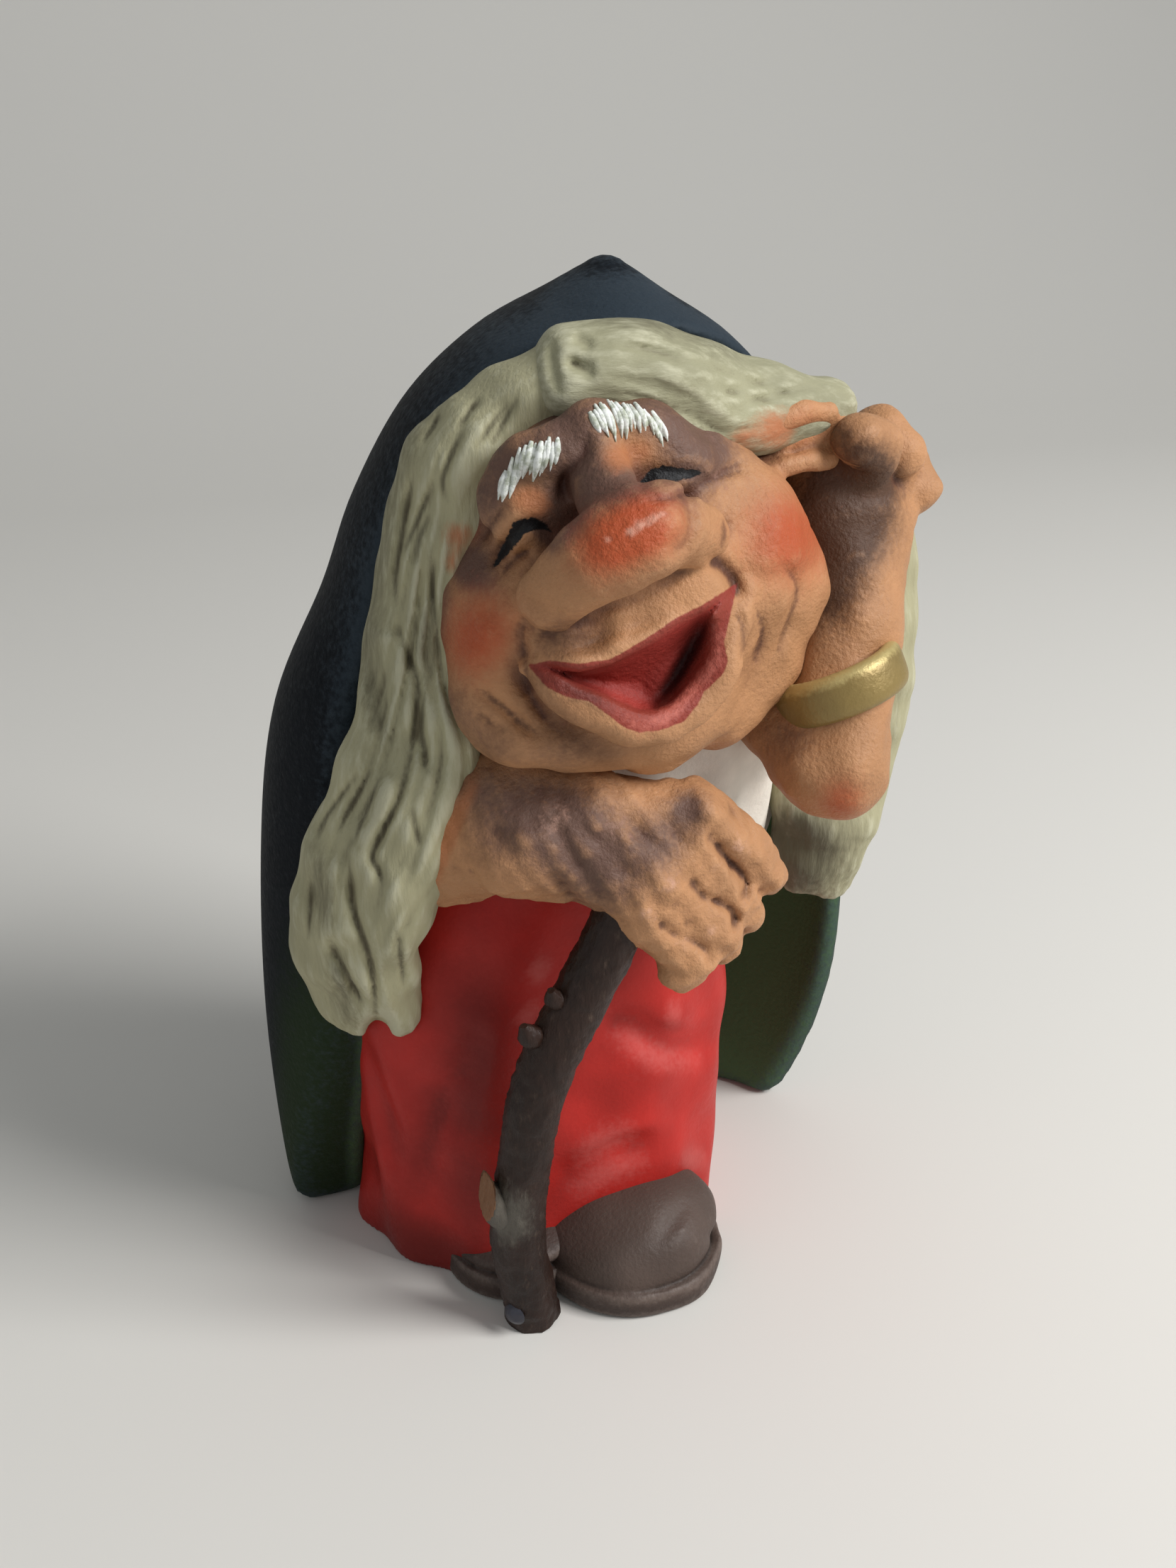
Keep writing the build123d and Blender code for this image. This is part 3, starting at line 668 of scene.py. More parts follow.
# Each lump is a place or a line, its radii, and how softly it joins what is there, all in mm.
HEAD_LUMPS = [
    # Cheeks, jowls and the fat round the eyes
    ((-12, -34, 125.5), 11, 6), ((20.5, -30, 132.5), 11, 6),
    ((-15, -35, 113.2), 8.3, 6), ((24.5, -28.5, 114.8), 8.3, 6),
    ((-8.5, -36.5, 146.5), 6, 6), ((2.5, -35, 149.5), 6, 6),
    # Muzzle, chin and jaw
    ([(-8, -40.5, 127), (6, -40, 131)], 8.3, 6), ((5, -36, 110), (13, 9, 7), 6),
    ((-8, -37, 110.3), (10, 8, 6.4), 5), ((18.4, -30, 108.2), 7.5, 5), ((29, -26, 123.7), 7.8, 5),
    # Bridge of the nose, eyelids and brows
    ([(-4.5, -40, 151), (-3.2, -49.5, 144.5)], [4.4, 4.6], 3),
    ((-13.5, -39.5, 142.5), (5.5, 4.5, 4.5), 3.5), ((6.5, -38.5, 147.5), (7, 4.5, 4.2), 3.5),
    (curve([(-15.7, -37, 145.4), (-13.8, -39, 150.2), (-10.4, -41, 151.4)]), 2.7, 4),
    (curve([(-3.9, -40.5, 154.5), (1.1, -40, 154.2), (5.8, -38, 151.6)]), 2.7, 4),
    # Nose and lips
    (curve(NOSE), NOSE_RADII, 1.2), (curve(UPPER_LIP), 2.0, 1.5), (curve(LOWER_LIP), 3.2, 1.2)]
head = Clay((-31, -62, 97), (46, 14, 165), GRAIN)
head.field = head.bell(SKULL, CHIN, HEAD_LEAN)
head.heap(HEAD_LUMPS)
print(len(HEAD_LUMPS), "lumps are on the skull")

# %% The ear
EAR_RIMS = [
    [(22.5, -26, 147.6), (26.4, -27, 149.4), (31.6, -26, 150.3), (36, -24, 149.6)],
    [(26, -26.5, 142.6), (29.6, -27, 142.8), (34, -26, 143.2), (38.5, -23, 142.6)]]
EAR_LOBE = [(24, -23, 146), (37, -21.5, 146)]
EAR_HOLE, EAR_HOLE_RADII = (26, -28, 145.9), (2.8, 3.4, 1.8)
head.heap([(EAR_LOBE, [4.4, 3.8], 2)] + [(curve(rim), 2.0, 1.2) for rim in EAR_RIMS])
head.egg(EAR_HOLE, EAR_HOLE_RADII, soft=1, cut=True)
print("the ear has", len(EAR_RIMS), "rims and a hole")

# %% Outlines and wrinkles of the face, in pixels
MOUTH_OUTLINE = [
    (747, 939), (774, 936), (817, 943), (861, 936), (890, 919), (919, 902), (953, 878), (992, 859),
    (1016, 845), (1030, 832), (1004, 870), (994, 893), (982, 925), (963, 954), (939, 983), (924, 1005),
    (900, 1005), (871, 993), (851, 983), (817, 971), (774, 948)]
LIP_OUTLINE = [
    (744, 938), (774, 932), (817, 936), (861, 930), (890, 914), (919, 896), (953, 872), (992, 853),
    (1016, 838), (1040, 822), (1030, 871), (1021, 905), (1027, 930), (1020, 952), (994, 975), (984, 994),
    (965, 1018), (929, 1031), (900, 1033), (880, 1026), (856, 1007), (832, 990), (798, 983), (772, 970)]
EYE_OUTLINES = [
    [(694, 803), (704, 778), (718, 752), (724, 738), (738, 731), (752, 730), (766, 735), (779, 750), (765, 747),
     (752, 748), (741, 754), (731, 766), (716, 782), (703, 796)],
    [(902, 690), (903, 678), (911, 668), (918, 660), (935, 656), (960, 660), (996, 664), (975, 675), (955, 679),
     (935, 680), (922, 680), (914, 690)]]
DEEP_WRINKLES = [
    [(668, 966), (700, 990), (735, 1020), (770, 1040)],
    [(735, 862), (738, 900), (742, 935), (747, 975), (770, 1015), (795, 1040)],
    [(1000, 787), (1018, 800), (1035, 822), (1040, 845)], [(793, 711), (798, 673), (822, 643), (832, 610)],
    [(690, 808), (721, 757), (749, 738), (785, 755)], [(898, 694), (916, 668), (938, 664), (1000, 668)]]
FINE_WRINKLES = [
    [(672, 1000), (692, 1019), (716, 1034)], [(1018, 728), (1021, 750), (1018, 780)],
    [(1100, 790), (1124, 830), (1106, 891), (1090, 935)], [(1035, 855), (1048, 890), (1046, 935)],
    [(963, 692), (1016, 673), (1055, 664)], [(982, 685), (1050, 648)], [(1065, 850), (1075, 890), (1060, 940)],
    [(680, 770), (700, 730), (716, 706)], [(700, 826), (724, 790), (756, 768)],
    [(905, 708), (950, 702), (995, 688)]]
SMILE_FOLDS = [
    [(731, 870), (724, 905), (727, 945), (742, 985)], [(992, 778), (1018, 798), (1040, 828), (1048, 860)]]
MOUTH_WEDGE = [(915, 1000), (942, 973), (974, 920), (1001, 866)]
NOSE_FOLD = [(736, 866), (757, 892), (793, 886), (851, 862), (919, 837), (968, 808), (986, 796)]
NOSE_BULB = [(950, 692), (968, 712), (973, 738), (962, 765), (940, 786)]
PHILTRUM_DENT = [(838, 868), (838, 900), (830, 930)]
PHILTRUM_RIDGE = [(868, 856), (873, 890), (868, 924)]
CHEEK_FOLD = [(1030, 797), (1075, 813), (1120, 809), (1158, 795)]
print(len(DEEP_WRINKLES) + len(FINE_WRINKLES), "wrinkles are traced")

# %% Pressing in the mouth and the wrinkles
MOUTH_DEPTH, MOUTH_SLOPE = 4.6, 1.8
# Each mark is its lines, a width and a depth in mm, and how fast it fades in from its ends.
HEAD_MARKS = [([MOUTH_WEDGE], 1.2, 2.2, 4), ([NOSE_FOLD], 0.9, 0.5, 8), ([NOSE_BULB], 1.2, 1.0, 4),
              ([PHILTRUM_DENT], 2.4, 0.7, 4), ([PHILTRUM_RIDGE], 1.5, -0.5, 4), ([CHEEK_FOLD], 1.5, 0.5, 4),
              (DEEP_WRINKLES, 1.0, 0.9, 4), (SMILE_FOLDS, 1.6, 0.9, 4), (FINE_WRINKLES, 0.7, 0.45, 4)]
head.knead(size=14, height=0.35, seed=1)
head.knead(size=5, height=0.12, seed=2)
head.sink(MOUTH_OUTLINE, MOUTH_DEPTH, MOUTH_SLOPE)
head.draw(HEAD_MARKS)
print(len(HEAD_MARKS), "kinds of marks are pressed into the face")

# %% Painting the head
BLUSH_SPOTS = [
    (680, 880, 58, 0.7), (664, 925, 50, 0.45), (1115, 755, 72, 0.95), (925, 735, 48, 0.9),
    (851, 772, 50, 0.95), (890, 750, 40, 0.5), (1130, 600, 45, 0.4), (655, 745, 22, 0.7)]
# Brown wash on the brow and temples, and painted shade beside the eye and nose, at the left of the face and under the
# chin.
WASH_AND_SHADE_SPOTS = [
    (690, 818, 36, 0.5), (658, 805, 32, 0.5), (822, 673, 60, 1.0), (788, 600, 50, 0.9), (711, 643, 42, 0.9),
    (677, 711, 45, 0.9), (842, 561, 40, 0.8), (910, 571, 40, 0.7), (968, 605, 52, 0.9), (1006, 640, 45, 0.7),
    (880, 684, 32, 0.7), (925, 694, 32, 0.6), (975, 682, 40, 0.6), (788, 731, 38, 0.9), (653, 779, 42, 0.6),
    (775, 760, 30, 0.5), (640, 1010, 50, 0.5), (775, 905, 35, 0.4), (815, 890, 35, 0.35),
    (1085, 635, 26, 0.6), (700, 1055, 45, 0.35), (790, 1070, 50, 0.45), (1060, 880, 45, 0.25)]
LID_SPOTS = [(740, 706, 24, 0.9), (762, 712, 22, 0.7), (871, 645, 26, 0.9), (905, 637, 22, 0.7)]
# Painted highlights on the nose.
NOSE_GLINTS = [
    (890, 750, 9, 0.9), (905, 741, 9, 0.8), (920, 733, 9, 0.9), (934, 726, 8, 0.6), (858, 760, 8, 0.5),
    (1010, 672, 16, 0.4)]
# Painted shade beside the nose, under the mouth and on the left of the chin.
FACE_SHADE = [
    (752, 862, 22, 0.35), (690, 1062, 36, 0.35), (645, 985, 20, 0.35), (800, 897, 34, 0.5),
    (838, 912, 24, 0.4), (765, 905, 20, 0.3)]
# Painted shade along the left edge of the face and under the jaw, and a painted shadow on the left of the lower lip.
FACE_BORDER_SHADE = [(655, 745), (632, 810), (618, 890), (618, 950), (640, 1020), (668, 1062)]
JOWL_SHADE = [(740, 944), (750, 975), (770, 1005), (805, 1038), (850, 1064), (900, 1080)]
LIP_SHADE = [(752, 942), (793, 966), (840, 988), (870, 1010)]
# A painted highlight along the crest of the lower lip.
LIP_HIGHLIGHT_CREST = [
    (870, 1008), (895, 1021), (919, 1024), (953, 999), (982, 965), (1011, 932), (1014, 900), (1022, 870)]
NOSE_BRIDGE = -45.0


def eye_paint(clay):
    """The black of the eyes, kept off the nose that stands in front of them."""
    return {"eye": np.where(clay.corners[:, 1] > NOSE_BRIDGE, inside(clay, EYE_OUTLINES), 0)}


finished(head, "troll_head", "head", skin_paint,
         sprays={"wash_and_shade": WASH_AND_SHADE_SPOTS, "blush": BLUSH_SPOTS, "shade": FACE_SHADE, "lid": LID_SPOTS,
                 "glint": NOSE_GLINTS},
         brushed={"wash_and_shade": [([FACE_BORDER_SHADE], 1.8, 0.8)], "shade": [([JOWL_SHADE], 2.8, 0.75)],
                  "wrinkle": [(DEEP_WRINKLES + FINE_WRINKLES, 0.5, 1.0)], "lip_highlight": [([LIP_HIGHLIGHT_CREST], 1.3, 1.0)],
                  "mouth_shadow": [([MOUTH_WEDGE], 1.4, 1.0), ([LIP_SHADE], 2.0, 0.55)]},
         filled={"lip": [LIP_OUTLINE], "mouth": [MOUTH_OUTLINE]}, more=eye_paint)

# %% [markdown]
# ## The arms
#
# The right hand is a fist on the top of the twig, and the left one is cupped behind the ear. A hand could be a box
# with fingers drawn out of it and then subdivided, but clay joins fingers to a palm more softly. So an arm is a
# chain of round rods that grow thicker and thinner, and each finger is its own chain, from the knuckle to the tip.

# %% The right arm and the gripping hand
KNUCKLES = [(11.8, -41, 94.7), (9.5, -42.8, 90.4), (6, -44.6, 86), (3.3, -44.8, 81.5)]
BENDS = [(19.4, -39.5, 87), (17, -41.5, 80), (14.9, -43, 75.5), (10, -44.3, 73.3)]
TIPS = [(24.2, -39, 81.6), (20.5, -40, 76), (16.5, -42, 72), (8.6, -44.6, 71)]
HAND_MIDDLE = (-6, -38, 90)
RIGHT_LUMPS = [([(-30, -13, 79), (-24, -25, 87.5), (-14, -36, 92)], [8.6, 10.6, 8.6], 2),
               ([(-14, -36, 92), (3, -41.5, 87)], [8.6, 8.2], 3),
               ([(-14, -34.5, 94), (-4, -38, 94), (5.5, -39.8, 91.6)], [8.2, 8.2, 7.2], 3),
               ((10, -39, 83), (9, 6, 8), 2), ([(-21, -27, 96), (-14, -33, 98)], 7.0, 3)]
for knuckle, bend, tip in zip(KNUCKLES, BENDS, TIPS):
    RIGHT_LUMPS += [([HAND_MIDDLE, knuckle], [6.0, 5.3], 2), ([knuckle, bend, tip], [5.2, 4.8, 3.7], 0.9)]
right_arm = Clay((-48, -54, 62), (32, 3, 106), GRAIN)
right_arm.heap(RIGHT_LUMPS)
print("the gripping hand has", len(KNUCKLES), "fingers")

# %% Tendons and paint of the gripping hand
FINGER_GAPS = [
    [(997, 1174), (1022, 1209), (1049, 1239), (1052, 1279)], [(972, 1234), (992, 1264), (1032, 1284), (1037, 1318)],
    [(922, 1289), (942, 1313), (992, 1338), (1002, 1368)], [(897, 1338), (916, 1358), (920, 1378)]]
TENDON_VALLEYS = [
    [(763, 1154), (793, 1184), (818, 1219), (843, 1259), (868, 1299)],
    [(813, 1159), (848, 1189), (882, 1229), (907, 1259)], [(858, 1144), (897, 1169), (932, 1199), (950, 1215)],
    [(758, 1219), (793, 1249), (828, 1289), (853, 1323)], [(690, 1150), (712, 1190), (728, 1234)],
    [(930, 1150), (955, 1180), (972, 1205)]]
KNUCKLE_BUMPS = [(912, 1289), (942, 1249), (1044, 1194), (997, 1313), (1002, 1152)]
BUMP_REACH = 4
BUMP_LINES = [[(column - BUMP_REACH, row - BUMP_REACH), (column + BUMP_REACH, row + BUMP_REACH)]
              for column, row in KNUCKLE_BUMPS]
HAND_MARKS = [(FINGER_GAPS, 0.8, 0.9, 6), (TENDON_VALLEYS, 1.3, 0.8, 2.5), (BUMP_LINES, 1.6, -0.6, 0)]
HAIR_BORDER = [(675, 1075), (664, 1110), (640, 1165), (608, 1245), (594, 1300)]
HAND_WASH = [
    (974, 1142, 30, 0.5), (735, 1140, 60, 0.55), (800, 1150, 60, 0.4), (932, 1189, 42, 0.6),
    (972, 1139, 30, 0.4), (803, 1190, 60, 0.4), (860, 1240, 60, 0.5), (828, 1194, 120, 0.4),
    (660, 1110, 50, 0.6), (690, 1190, 40, 0.3)]
# Painted highlights on the knuckles and the back of the hand.
KNUCKLE_GLINTS = [
    (912, 1289, 14, 0.6), (944, 1249, 14, 0.6), (1044, 1194, 14, 0.6), (1002, 1313, 14, 0.45),
    (965, 1330, 14, 0.4), (790, 1145, 22, 0.4), (775, 1170, 18, 0.4), (870, 1165, 25, 0.3),
    (1010, 1225, 14, 0.4)]
right_arm.knead(size=12, height=0.35, seed=3)
right_arm.knead(size=3.5, height=0.2, seed=4)
right_arm.draw(HAND_MARKS)
finished(right_arm, "right_arm_and_hand", "right_arm", skin_paint,
         sprays={"wash_and_shade": HAND_WASH, "glint": KNUCKLE_GLINTS}, brushed={"lid": [([HAIR_BORDER], 1.6, 1.0)]})

# %% The left arm and the cupped hand
PALM_ENDS = [(41, -20, 138), (46, -17, 139.5), (51.5, -15, 135.5)]
CUPPED_BENDS = [(43.2, -25, 144.2), (48, -18, 144), (54, -14.5, 138)]
CUPPED_TIPS = [(40.2, -27.5, 146), (51, -20, 141.7), (55.3, -16.5, 135)]
LEFT_WRIST = (41, -26, 117.5)
LEFT_LUMPS = [([(26, -12, 106), (31, -22, 104), (36, -34.5, 98)], 8.2, 2),
              ([(36, -35.5, 97.5), (38.2, -31.5, 107), LEFT_WRIST], [8.4, 8.8, 7.8], 3)]
for palm_end, bend, tip in zip(PALM_ENDS, CUPPED_BENDS, CUPPED_TIPS):
    LEFT_LUMPS += [([LEFT_WRIST, palm_end], [7.4, 5.4], 3), ([palm_end, bend, tip], [5.2, 4.8, 4.2], 0.8)]
LEFT_LUMPS += [([(37, -19, 139), (36.5, -21, 123)], 5.0, 3)]
ELBOW_BLUSH = [(1187, 1130, 36, 0.75)]
# A dark brown wash with painted shade in the hollow of the cupped palm.
PALM_WASH_AND_SHADE = [
    (1190, 690, 75, 1.0), (1185, 760, 70, 1.0), (1225, 670, 45, 0.7), (1165, 850, 50, 0.8),
    (1175, 610, 22, 0.8)]
WRIST_WASH = [(1110, 1040, 45, 0.6), (1180, 900, 40, 0.3)]
left_arm = Clay((4, -49, 83), (66, 0, 154), GRAIN)
left_arm.heap(LEFT_LUMPS)
left_arm.knead(size=12, height=0.35, seed=5)
left_arm.knead(size=4, height=0.12, seed=6)
finished(left_arm, "left_arm_and_hand", "left_arm", skin_paint,
         sprays={"palm": PALM_WASH_AND_SHADE, "wash_and_shade": WRIST_WASH, "blush": ELBOW_BLUSH})

# %% [markdown]
# ## The hair
#
# The hair falls from a parting under the hood in heavy wavy locks. Thousands of thin hair curves would be too fine
# for it: the modeller rolled ropes of clay, laid them side by side and drew a comb along them. So each lock is a rod
# that waves between the two edges of the hair, with fine flutes along it, and then the comb's lines are pressed in.

# %% A bundle of locks
FLUTES, FLUTE_DEPTH = 13, 0.08
LOCK_STATIONS = (0, 0.15, 0.8, 1)
# Marks on the hair are pressed only into what lies in front of this y, in mm.
HAIR_BACK = 0.0
LIFT, COMB_SWAY = 0.6, 1.3
COMB_STARTS, COMB_ENDS, COMB_WIDTHS, COMB_DEPTHS = (0, 0.35), (0.5, 1), (0.4, 0.6), (0.25, 0.5)


def locks(clay, outer, inner, count, radii, wave, waves, seed, soft, combs):
    """Lays wavy locks side by side between two edge lines, and draws a comb along them."""
    rng = np.random.default_rng(seed)
    outer, inner = curve(outer), curve(inner)
    run = np.linspace(0, 1, len(outer))
    runs = np.linspace(0, 1, len(inner))
    inner = np.stack([np.interp(run, runs, inner[:, k]) for k in range(3)], 1)
    across = inner - outer
    across = across / np.maximum(np.linalg.norm(across, axis=1), 1e-6)[:, None]
    for share in (np.arange(count) + 0.5) / count:
        beat = rng.uniform(0, 2 * math.pi)
        sway = wave * np.sin(2 * math.pi * waves * run + beat) * np.clip(run * 4, 0, 1)
        lift = LIFT * wave * np.cos(2 * math.pi * waves * run + 1.7 * beat)
        line = outer + (inner - outer) * share + across * sway[:, None]
        line[:, 1] += lift
        size = np.interp(run, LOCK_STATIONS, radii) * rng.uniform(0.9, 1.1)
        clay.rod(line, size, soft=soft, flutes=FLUTES, flute_depth=FLUTE_DEPTH)
    for share in np.linspace(-0.1, 1.1, combs):
        kept = (run >= rng.uniform(*COMB_STARTS)) & (run <= rng.uniform(*COMB_ENDS))
        sway = COMB_SWAY * wave * np.sin(2 * math.pi * waves * run + rng.uniform(0, 6))
        line = (outer + (inner - outer) * share + across * sway[:, None])[kept]
        column, row, _ = in_photo(*line.T)
        width, depth = rng.uniform(*COMB_WIDTHS), rng.uniform(*COMB_DEPTHS)
        clay.press(np.stack([column, row], 1), width, depth, behind=HAIR_BACK, taper=3)


print("a lock has", FLUTES, "flutes")

# %% The hair over the right shoulder
RIGHT_OUTER = [
    (-4, -27.5, 160.5), (-20, -22, 150), (-24, -20, 138), (-28, -18, 118), (-34.5, -17.5, 99),
    (-40.5, -16, 83), (-42.5, -13.5, 66), (-40.5, -10.5, 51)]
RIGHT_INNER = [
    (-5, -31.5, 157), (-15.5, -28.5, 148), (-20, -27, 136), (-23.5, -25.5, 117), (-22, -32, 103),
    (-27.5, -33, 87.5), (-34, -26.5, 70), (-31, -22, 55.5)]
DEEP_GROOVES = [
    [(658, 599), (638, 639), (625, 679), (632, 712)], [(585, 659), (572, 732), (559, 811), (559, 864)],
    [(559, 877), (579, 930), (589, 964), (585, 1017), (579, 1063), (575, 1096)],
    [(599, 970), (595, 1037), (605, 1096)],
    [(579, 1070), (565, 1123), (539, 1176), (526, 1209), (539, 1242), (529, 1288)],
    [(490, 1190), (499, 1282), (519, 1341), (528, 1400), (532, 1470)], [(462, 1320), (490, 1375), (519, 1424)]]
FINE_GROOVES = [
    [(579, 1136), (585, 1162), (592, 1196)], [(605, 725), (592, 758), (585, 800)],
    [(506, 1090), (459, 1156), (446, 1196)], [(526, 1083), (486, 1156), (479, 1176)], [(539, 1090), (493, 1202)],
    [(731, 559), (705, 606), (691, 632)], [(718, 566), (672, 632)], [(678, 559), (645, 606)],
    [(625, 579), (592, 632)], [(612, 679), (579, 758), (565, 785)], [(440, 1240), (435, 1328)],
    [(560, 1310), (571, 1398)], [(606, 760), (612, 860), (622, 950)]]
HAIR_CRESTS = [
    [(565, 890), (559, 970), (559, 1037)], [(632, 997), (645, 1050), (640, 1120), (612, 1190), (590, 1250)],
    [(552, 1090), (530, 1150), (500, 1190)], [(470, 1200), (470, 1290), (480, 1340)],
    [(560, 1220), (556, 1300), (585, 1400)]]
HAIR_NOTCH = [(534, 1452), (536, 1500)]
HAIR_HOLLOW = [(548, 900), (536, 960), (540, 1035)]
HAIR_FLESH = [(646, 755, 24, 0.8), (638, 795, 20, 0.6)]
# Painted shade under the rim of the hood and in the hollows of the hair.
HAIR_RIM = [(690, 475), (640, 530), (590, 600), (556, 680), (541, 760), (530, 850), (518, 940), (505, 1020)]
HAIR_SHADE = [
    [(536, 820), (520, 910), (523, 985), (552, 1070)], [(468, 1330), (484, 1400), (502, 1460)],
    [(446, 1180), (453, 1255), (462, 1330)], [(590, 850), (600, 905), (606, 970)]]
HAIR_MARKS = [(HAIR_CRESTS, 2.2, -0.9, 4), (DEEP_GROOVES, 0.8, 1.1, 2.5), (FINE_GROOVES, 0.55, 0.6, 3),
              ([HAIR_HOLLOW], 2.2, 0.9, 4), ([HAIR_NOTCH], 1.5, 7.0, 0)]
right_hair = Clay((-54, -46, 41), (2, -3, 169), GRAIN)
locks(right_hair, RIGHT_OUTER, RIGHT_INNER, count=4, radii=(3.8, 5.2, 6.6, 5.0), wave=0.8, waves=2.0, seed=3,
      soft=2.6, combs=16)
right_hair.knead(size=10, height=0.4, seed=7)
right_hair.draw(HAIR_MARKS, behind=HAIR_BACK)
# Painted shade under the hood's rim, in the hollows and along the grooves.
finished(right_hair, "right_hair_locks", "right_hair", hair_paint, sprays={"flesh": HAIR_FLESH},
         brushed={"shade": [(HAIR_SHADE, 2.2, 0.6), ([HAIR_RIM], 2.5, 0.5),
                            (DEEP_GROOVES + FINE_GROOVES, 0.5, 0.7)]})

# %% The fringe
FRINGE_UPPER = [
    (-4, -27, 160.7), (5, -26.5, 160.8), (14, -24, 158.3), (24, -20, 154.3), (33, -19.5, 150.6),
    (40, -18, 149.2)]
FRINGE_LOWER = [
    (-5, -33, 157), (3, -33.5, 157), (11, -32.5, 154), (19, -29, 149.5), (28, -23.5, 148.8),
    (37, -19, 148.8)]
FRINGE_GROOVES = [
    [(778, 474), (781, 520), (792, 562)], [(793, 503), (822, 522), (842, 537)], [(808, 474), (837, 491)],
    [(798, 512), (842, 518)], [(851, 532), (919, 546), (982, 580), (1031, 609)],
    [(1016, 561), (1055, 544), (1108, 537)], [(1031, 585), (1065, 566), (1123, 551), (1166, 547)],
    [(870, 490), (930, 500), (990, 530)]]
# Painted shade under the rim of the hood.
FRINGE_RIM = [(790, 452), (850, 448), (920, 455), (1000, 482), (1055, 512)]
FRINGE_FLESH = [(1095, 606, 34, 0.9), (1045, 620, 24, 0.6)]
fringe = Clay((-13, -43, 139), (48, -10, 169), GRAIN)
locks(fringe, FRINGE_UPPER, FRINGE_LOWER, count=4, radii=(4.0, 4.6, 4.2, 2.8), wave=0.4, waves=1.3, seed=5,
      soft=4.0, combs=4)
fringe.knead(size=9, height=0.3, seed=8)
fringe.draw([(FRINGE_GROOVES, 0.8, 0.55, 3)], behind=HAIR_BACK)
finished(fringe, "fringe_locks", "left_fringe", fringe_paint, sprays={"flesh": FRINGE_FLESH},
         brushed={"shade": [([FRINGE_RIM], 2.0, 0.5)]})

# %% The hair behind the left arm
SIDE_OUTER = [
    (46, -9, 141), (53, -7, 128), (57, -7, 112), (57, -8, 98), (54.5, -8, 84), (53, -8, 71),
    (50.5, -7, 61.5)]
SIDE_INNER = [
    (44, -9, 138), (47, -9, 126), (47, -10, 112), (46, -10, 100), (40.5, -11, 86), (39, -11, 74),
    (42, -9, 64)]
# Painted shade on the lower locks below the elbow.
SIDE_SHADE = [(1150, 1195, 60, 0.75), (1105, 1190, 50, 0.8), (1130, 1250, 40, 0.4)]
side_hair = Clay((32, -22, 50), (68, 5, 152), GRAIN)
locks(side_hair, SIDE_OUTER, SIDE_INNER, count=3, radii=(4.4, 5.8, 5.8, 4.0), wave=1.2, waves=2.2, seed=8,
      soft=2.0, combs=8)
side_hair.knead(size=9, height=0.4, seed=9)
finished(side_hair, "side_hair_locks", "left_side_hair", hair_paint, sprays={"shade": SIDE_SHADE})

# %% [markdown]
# ## The cloak
#
# A heavy hooded cloak stands round the figure like a bell that is open in front. It is as thick as the casting, so
# simulated cloth would look too thin and limp. Its outside and its hollow are two bodies of oval sections, four long
# folds are cut into its back, and the front is cut off along a curve that comes forward towards the hood.

# %% The cloak and its hood
CLOAK = [
    (0, 1.5, 6, 48.5, 29), (6, 1.8, 6, 52, 31), (40, 2.2, 6, 54, 32), (75, 2.5, 5, 52.5, 33),
    (100, 2, 3, 48, 34), (120, 3.7, 0, 41, 34.5), (135, 5, -3, 37, 34), (150, 5, -7, 29, 31),
    (160, 5.6, -9, 19.2, 25), (166, 6.8, -7.5, 9, 14), (169, 7.6, -5, 4, 6), (170.6, 7.8, -4, 1.2, 1.8)]
HOLLOW = [
    (-6, 6, 6, 41, 24), (16, 6.6, 4, 43.5, 26), (45, 7, 1, 44.5, 28), (75, 6, -4, 43, 30),
    (100, 4, -6, 40, 29), (120, 4.5, -8, 36, 28), (135, 5.5, -10, 32, 27), (150, 6.4, -12, 24, 24),
    (158, 6.4, -14, 15.5, 19), (163, 6, -17, 6, 11)]
CLOAK_GRAIN = 1.25
# The number of folds, the angle of the first one in degrees, their radius and depth in mm, and how many sections
# of the cloak, counted from the hem, they run up.
CLOAK_FOLDS, FIRST_FOLD, FOLD_RADIUS, FOLD_DEPTH, FOLD_SECTIONS = 4, 50.0, 9.0, 1.6, 5
cloak = Clay((-58, -40, -4), (64, 44, 175), CLOAK_GRAIN)
cloak.field = cloak.bell(CLOAK)
for angle in np.radians(np.linspace(FIRST_FOLD, 180 - FIRST_FOLD, CLOAK_FOLDS)):
    fold = []
    for (height, middle_x, middle_y, wide, deep), depth in zip(CLOAK, np.linspace(FOLD_DEPTH, 0, FOLD_SECTIONS)):
        reach = FOLD_RADIUS - depth
        fold.append((middle_x + (wide + reach) * math.cos(angle), middle_y + (deep + reach) * math.sin(angle),
                     height))
    cloak.rod(curve(fold), FOLD_RADIUS, soft=2.0, cut=True)
print("the cloak has", CLOAK_FOLDS, "folds behind")

# %% The open front and the green edges
BODY_TURN = math.radians(6)
FRONT_EDGE = [(-1, 8), (45, -7), (100, -11), (143, -15.5), (158, -22), (169, -34)]
EDGE_ROUND = 2.5
# Heights and widths in mm. A coat that starts above 1 is full for a little way before it fades.
LINING_TOP, LINING_FADE, LINING_REACH, LINING_START = 100, 20, 2.5, 1.5
GREEN_TOP, GREEN_FADE, GREEN_WIDTH, GREEN_START = 80, 35, 14, 1.2
HEM_HEIGHT = 14
x, y, z = np.meshgrid(*cloak.axes, indexing="ij", sparse=True)
front_edge = curve(FRONT_EDGE, 8)
ahead = y * math.cos(BODY_TURN) - x * math.sin(BODY_TURN)
front = np.interp(z, front_edge[:, 0], front_edge[:, 1]) - ahead
hollow = cloak.bell(HOLLOW)
for cut in (hollow, -front):
    cloak.field = -soft_min(-cloak.field, cut, EDGE_ROUND)


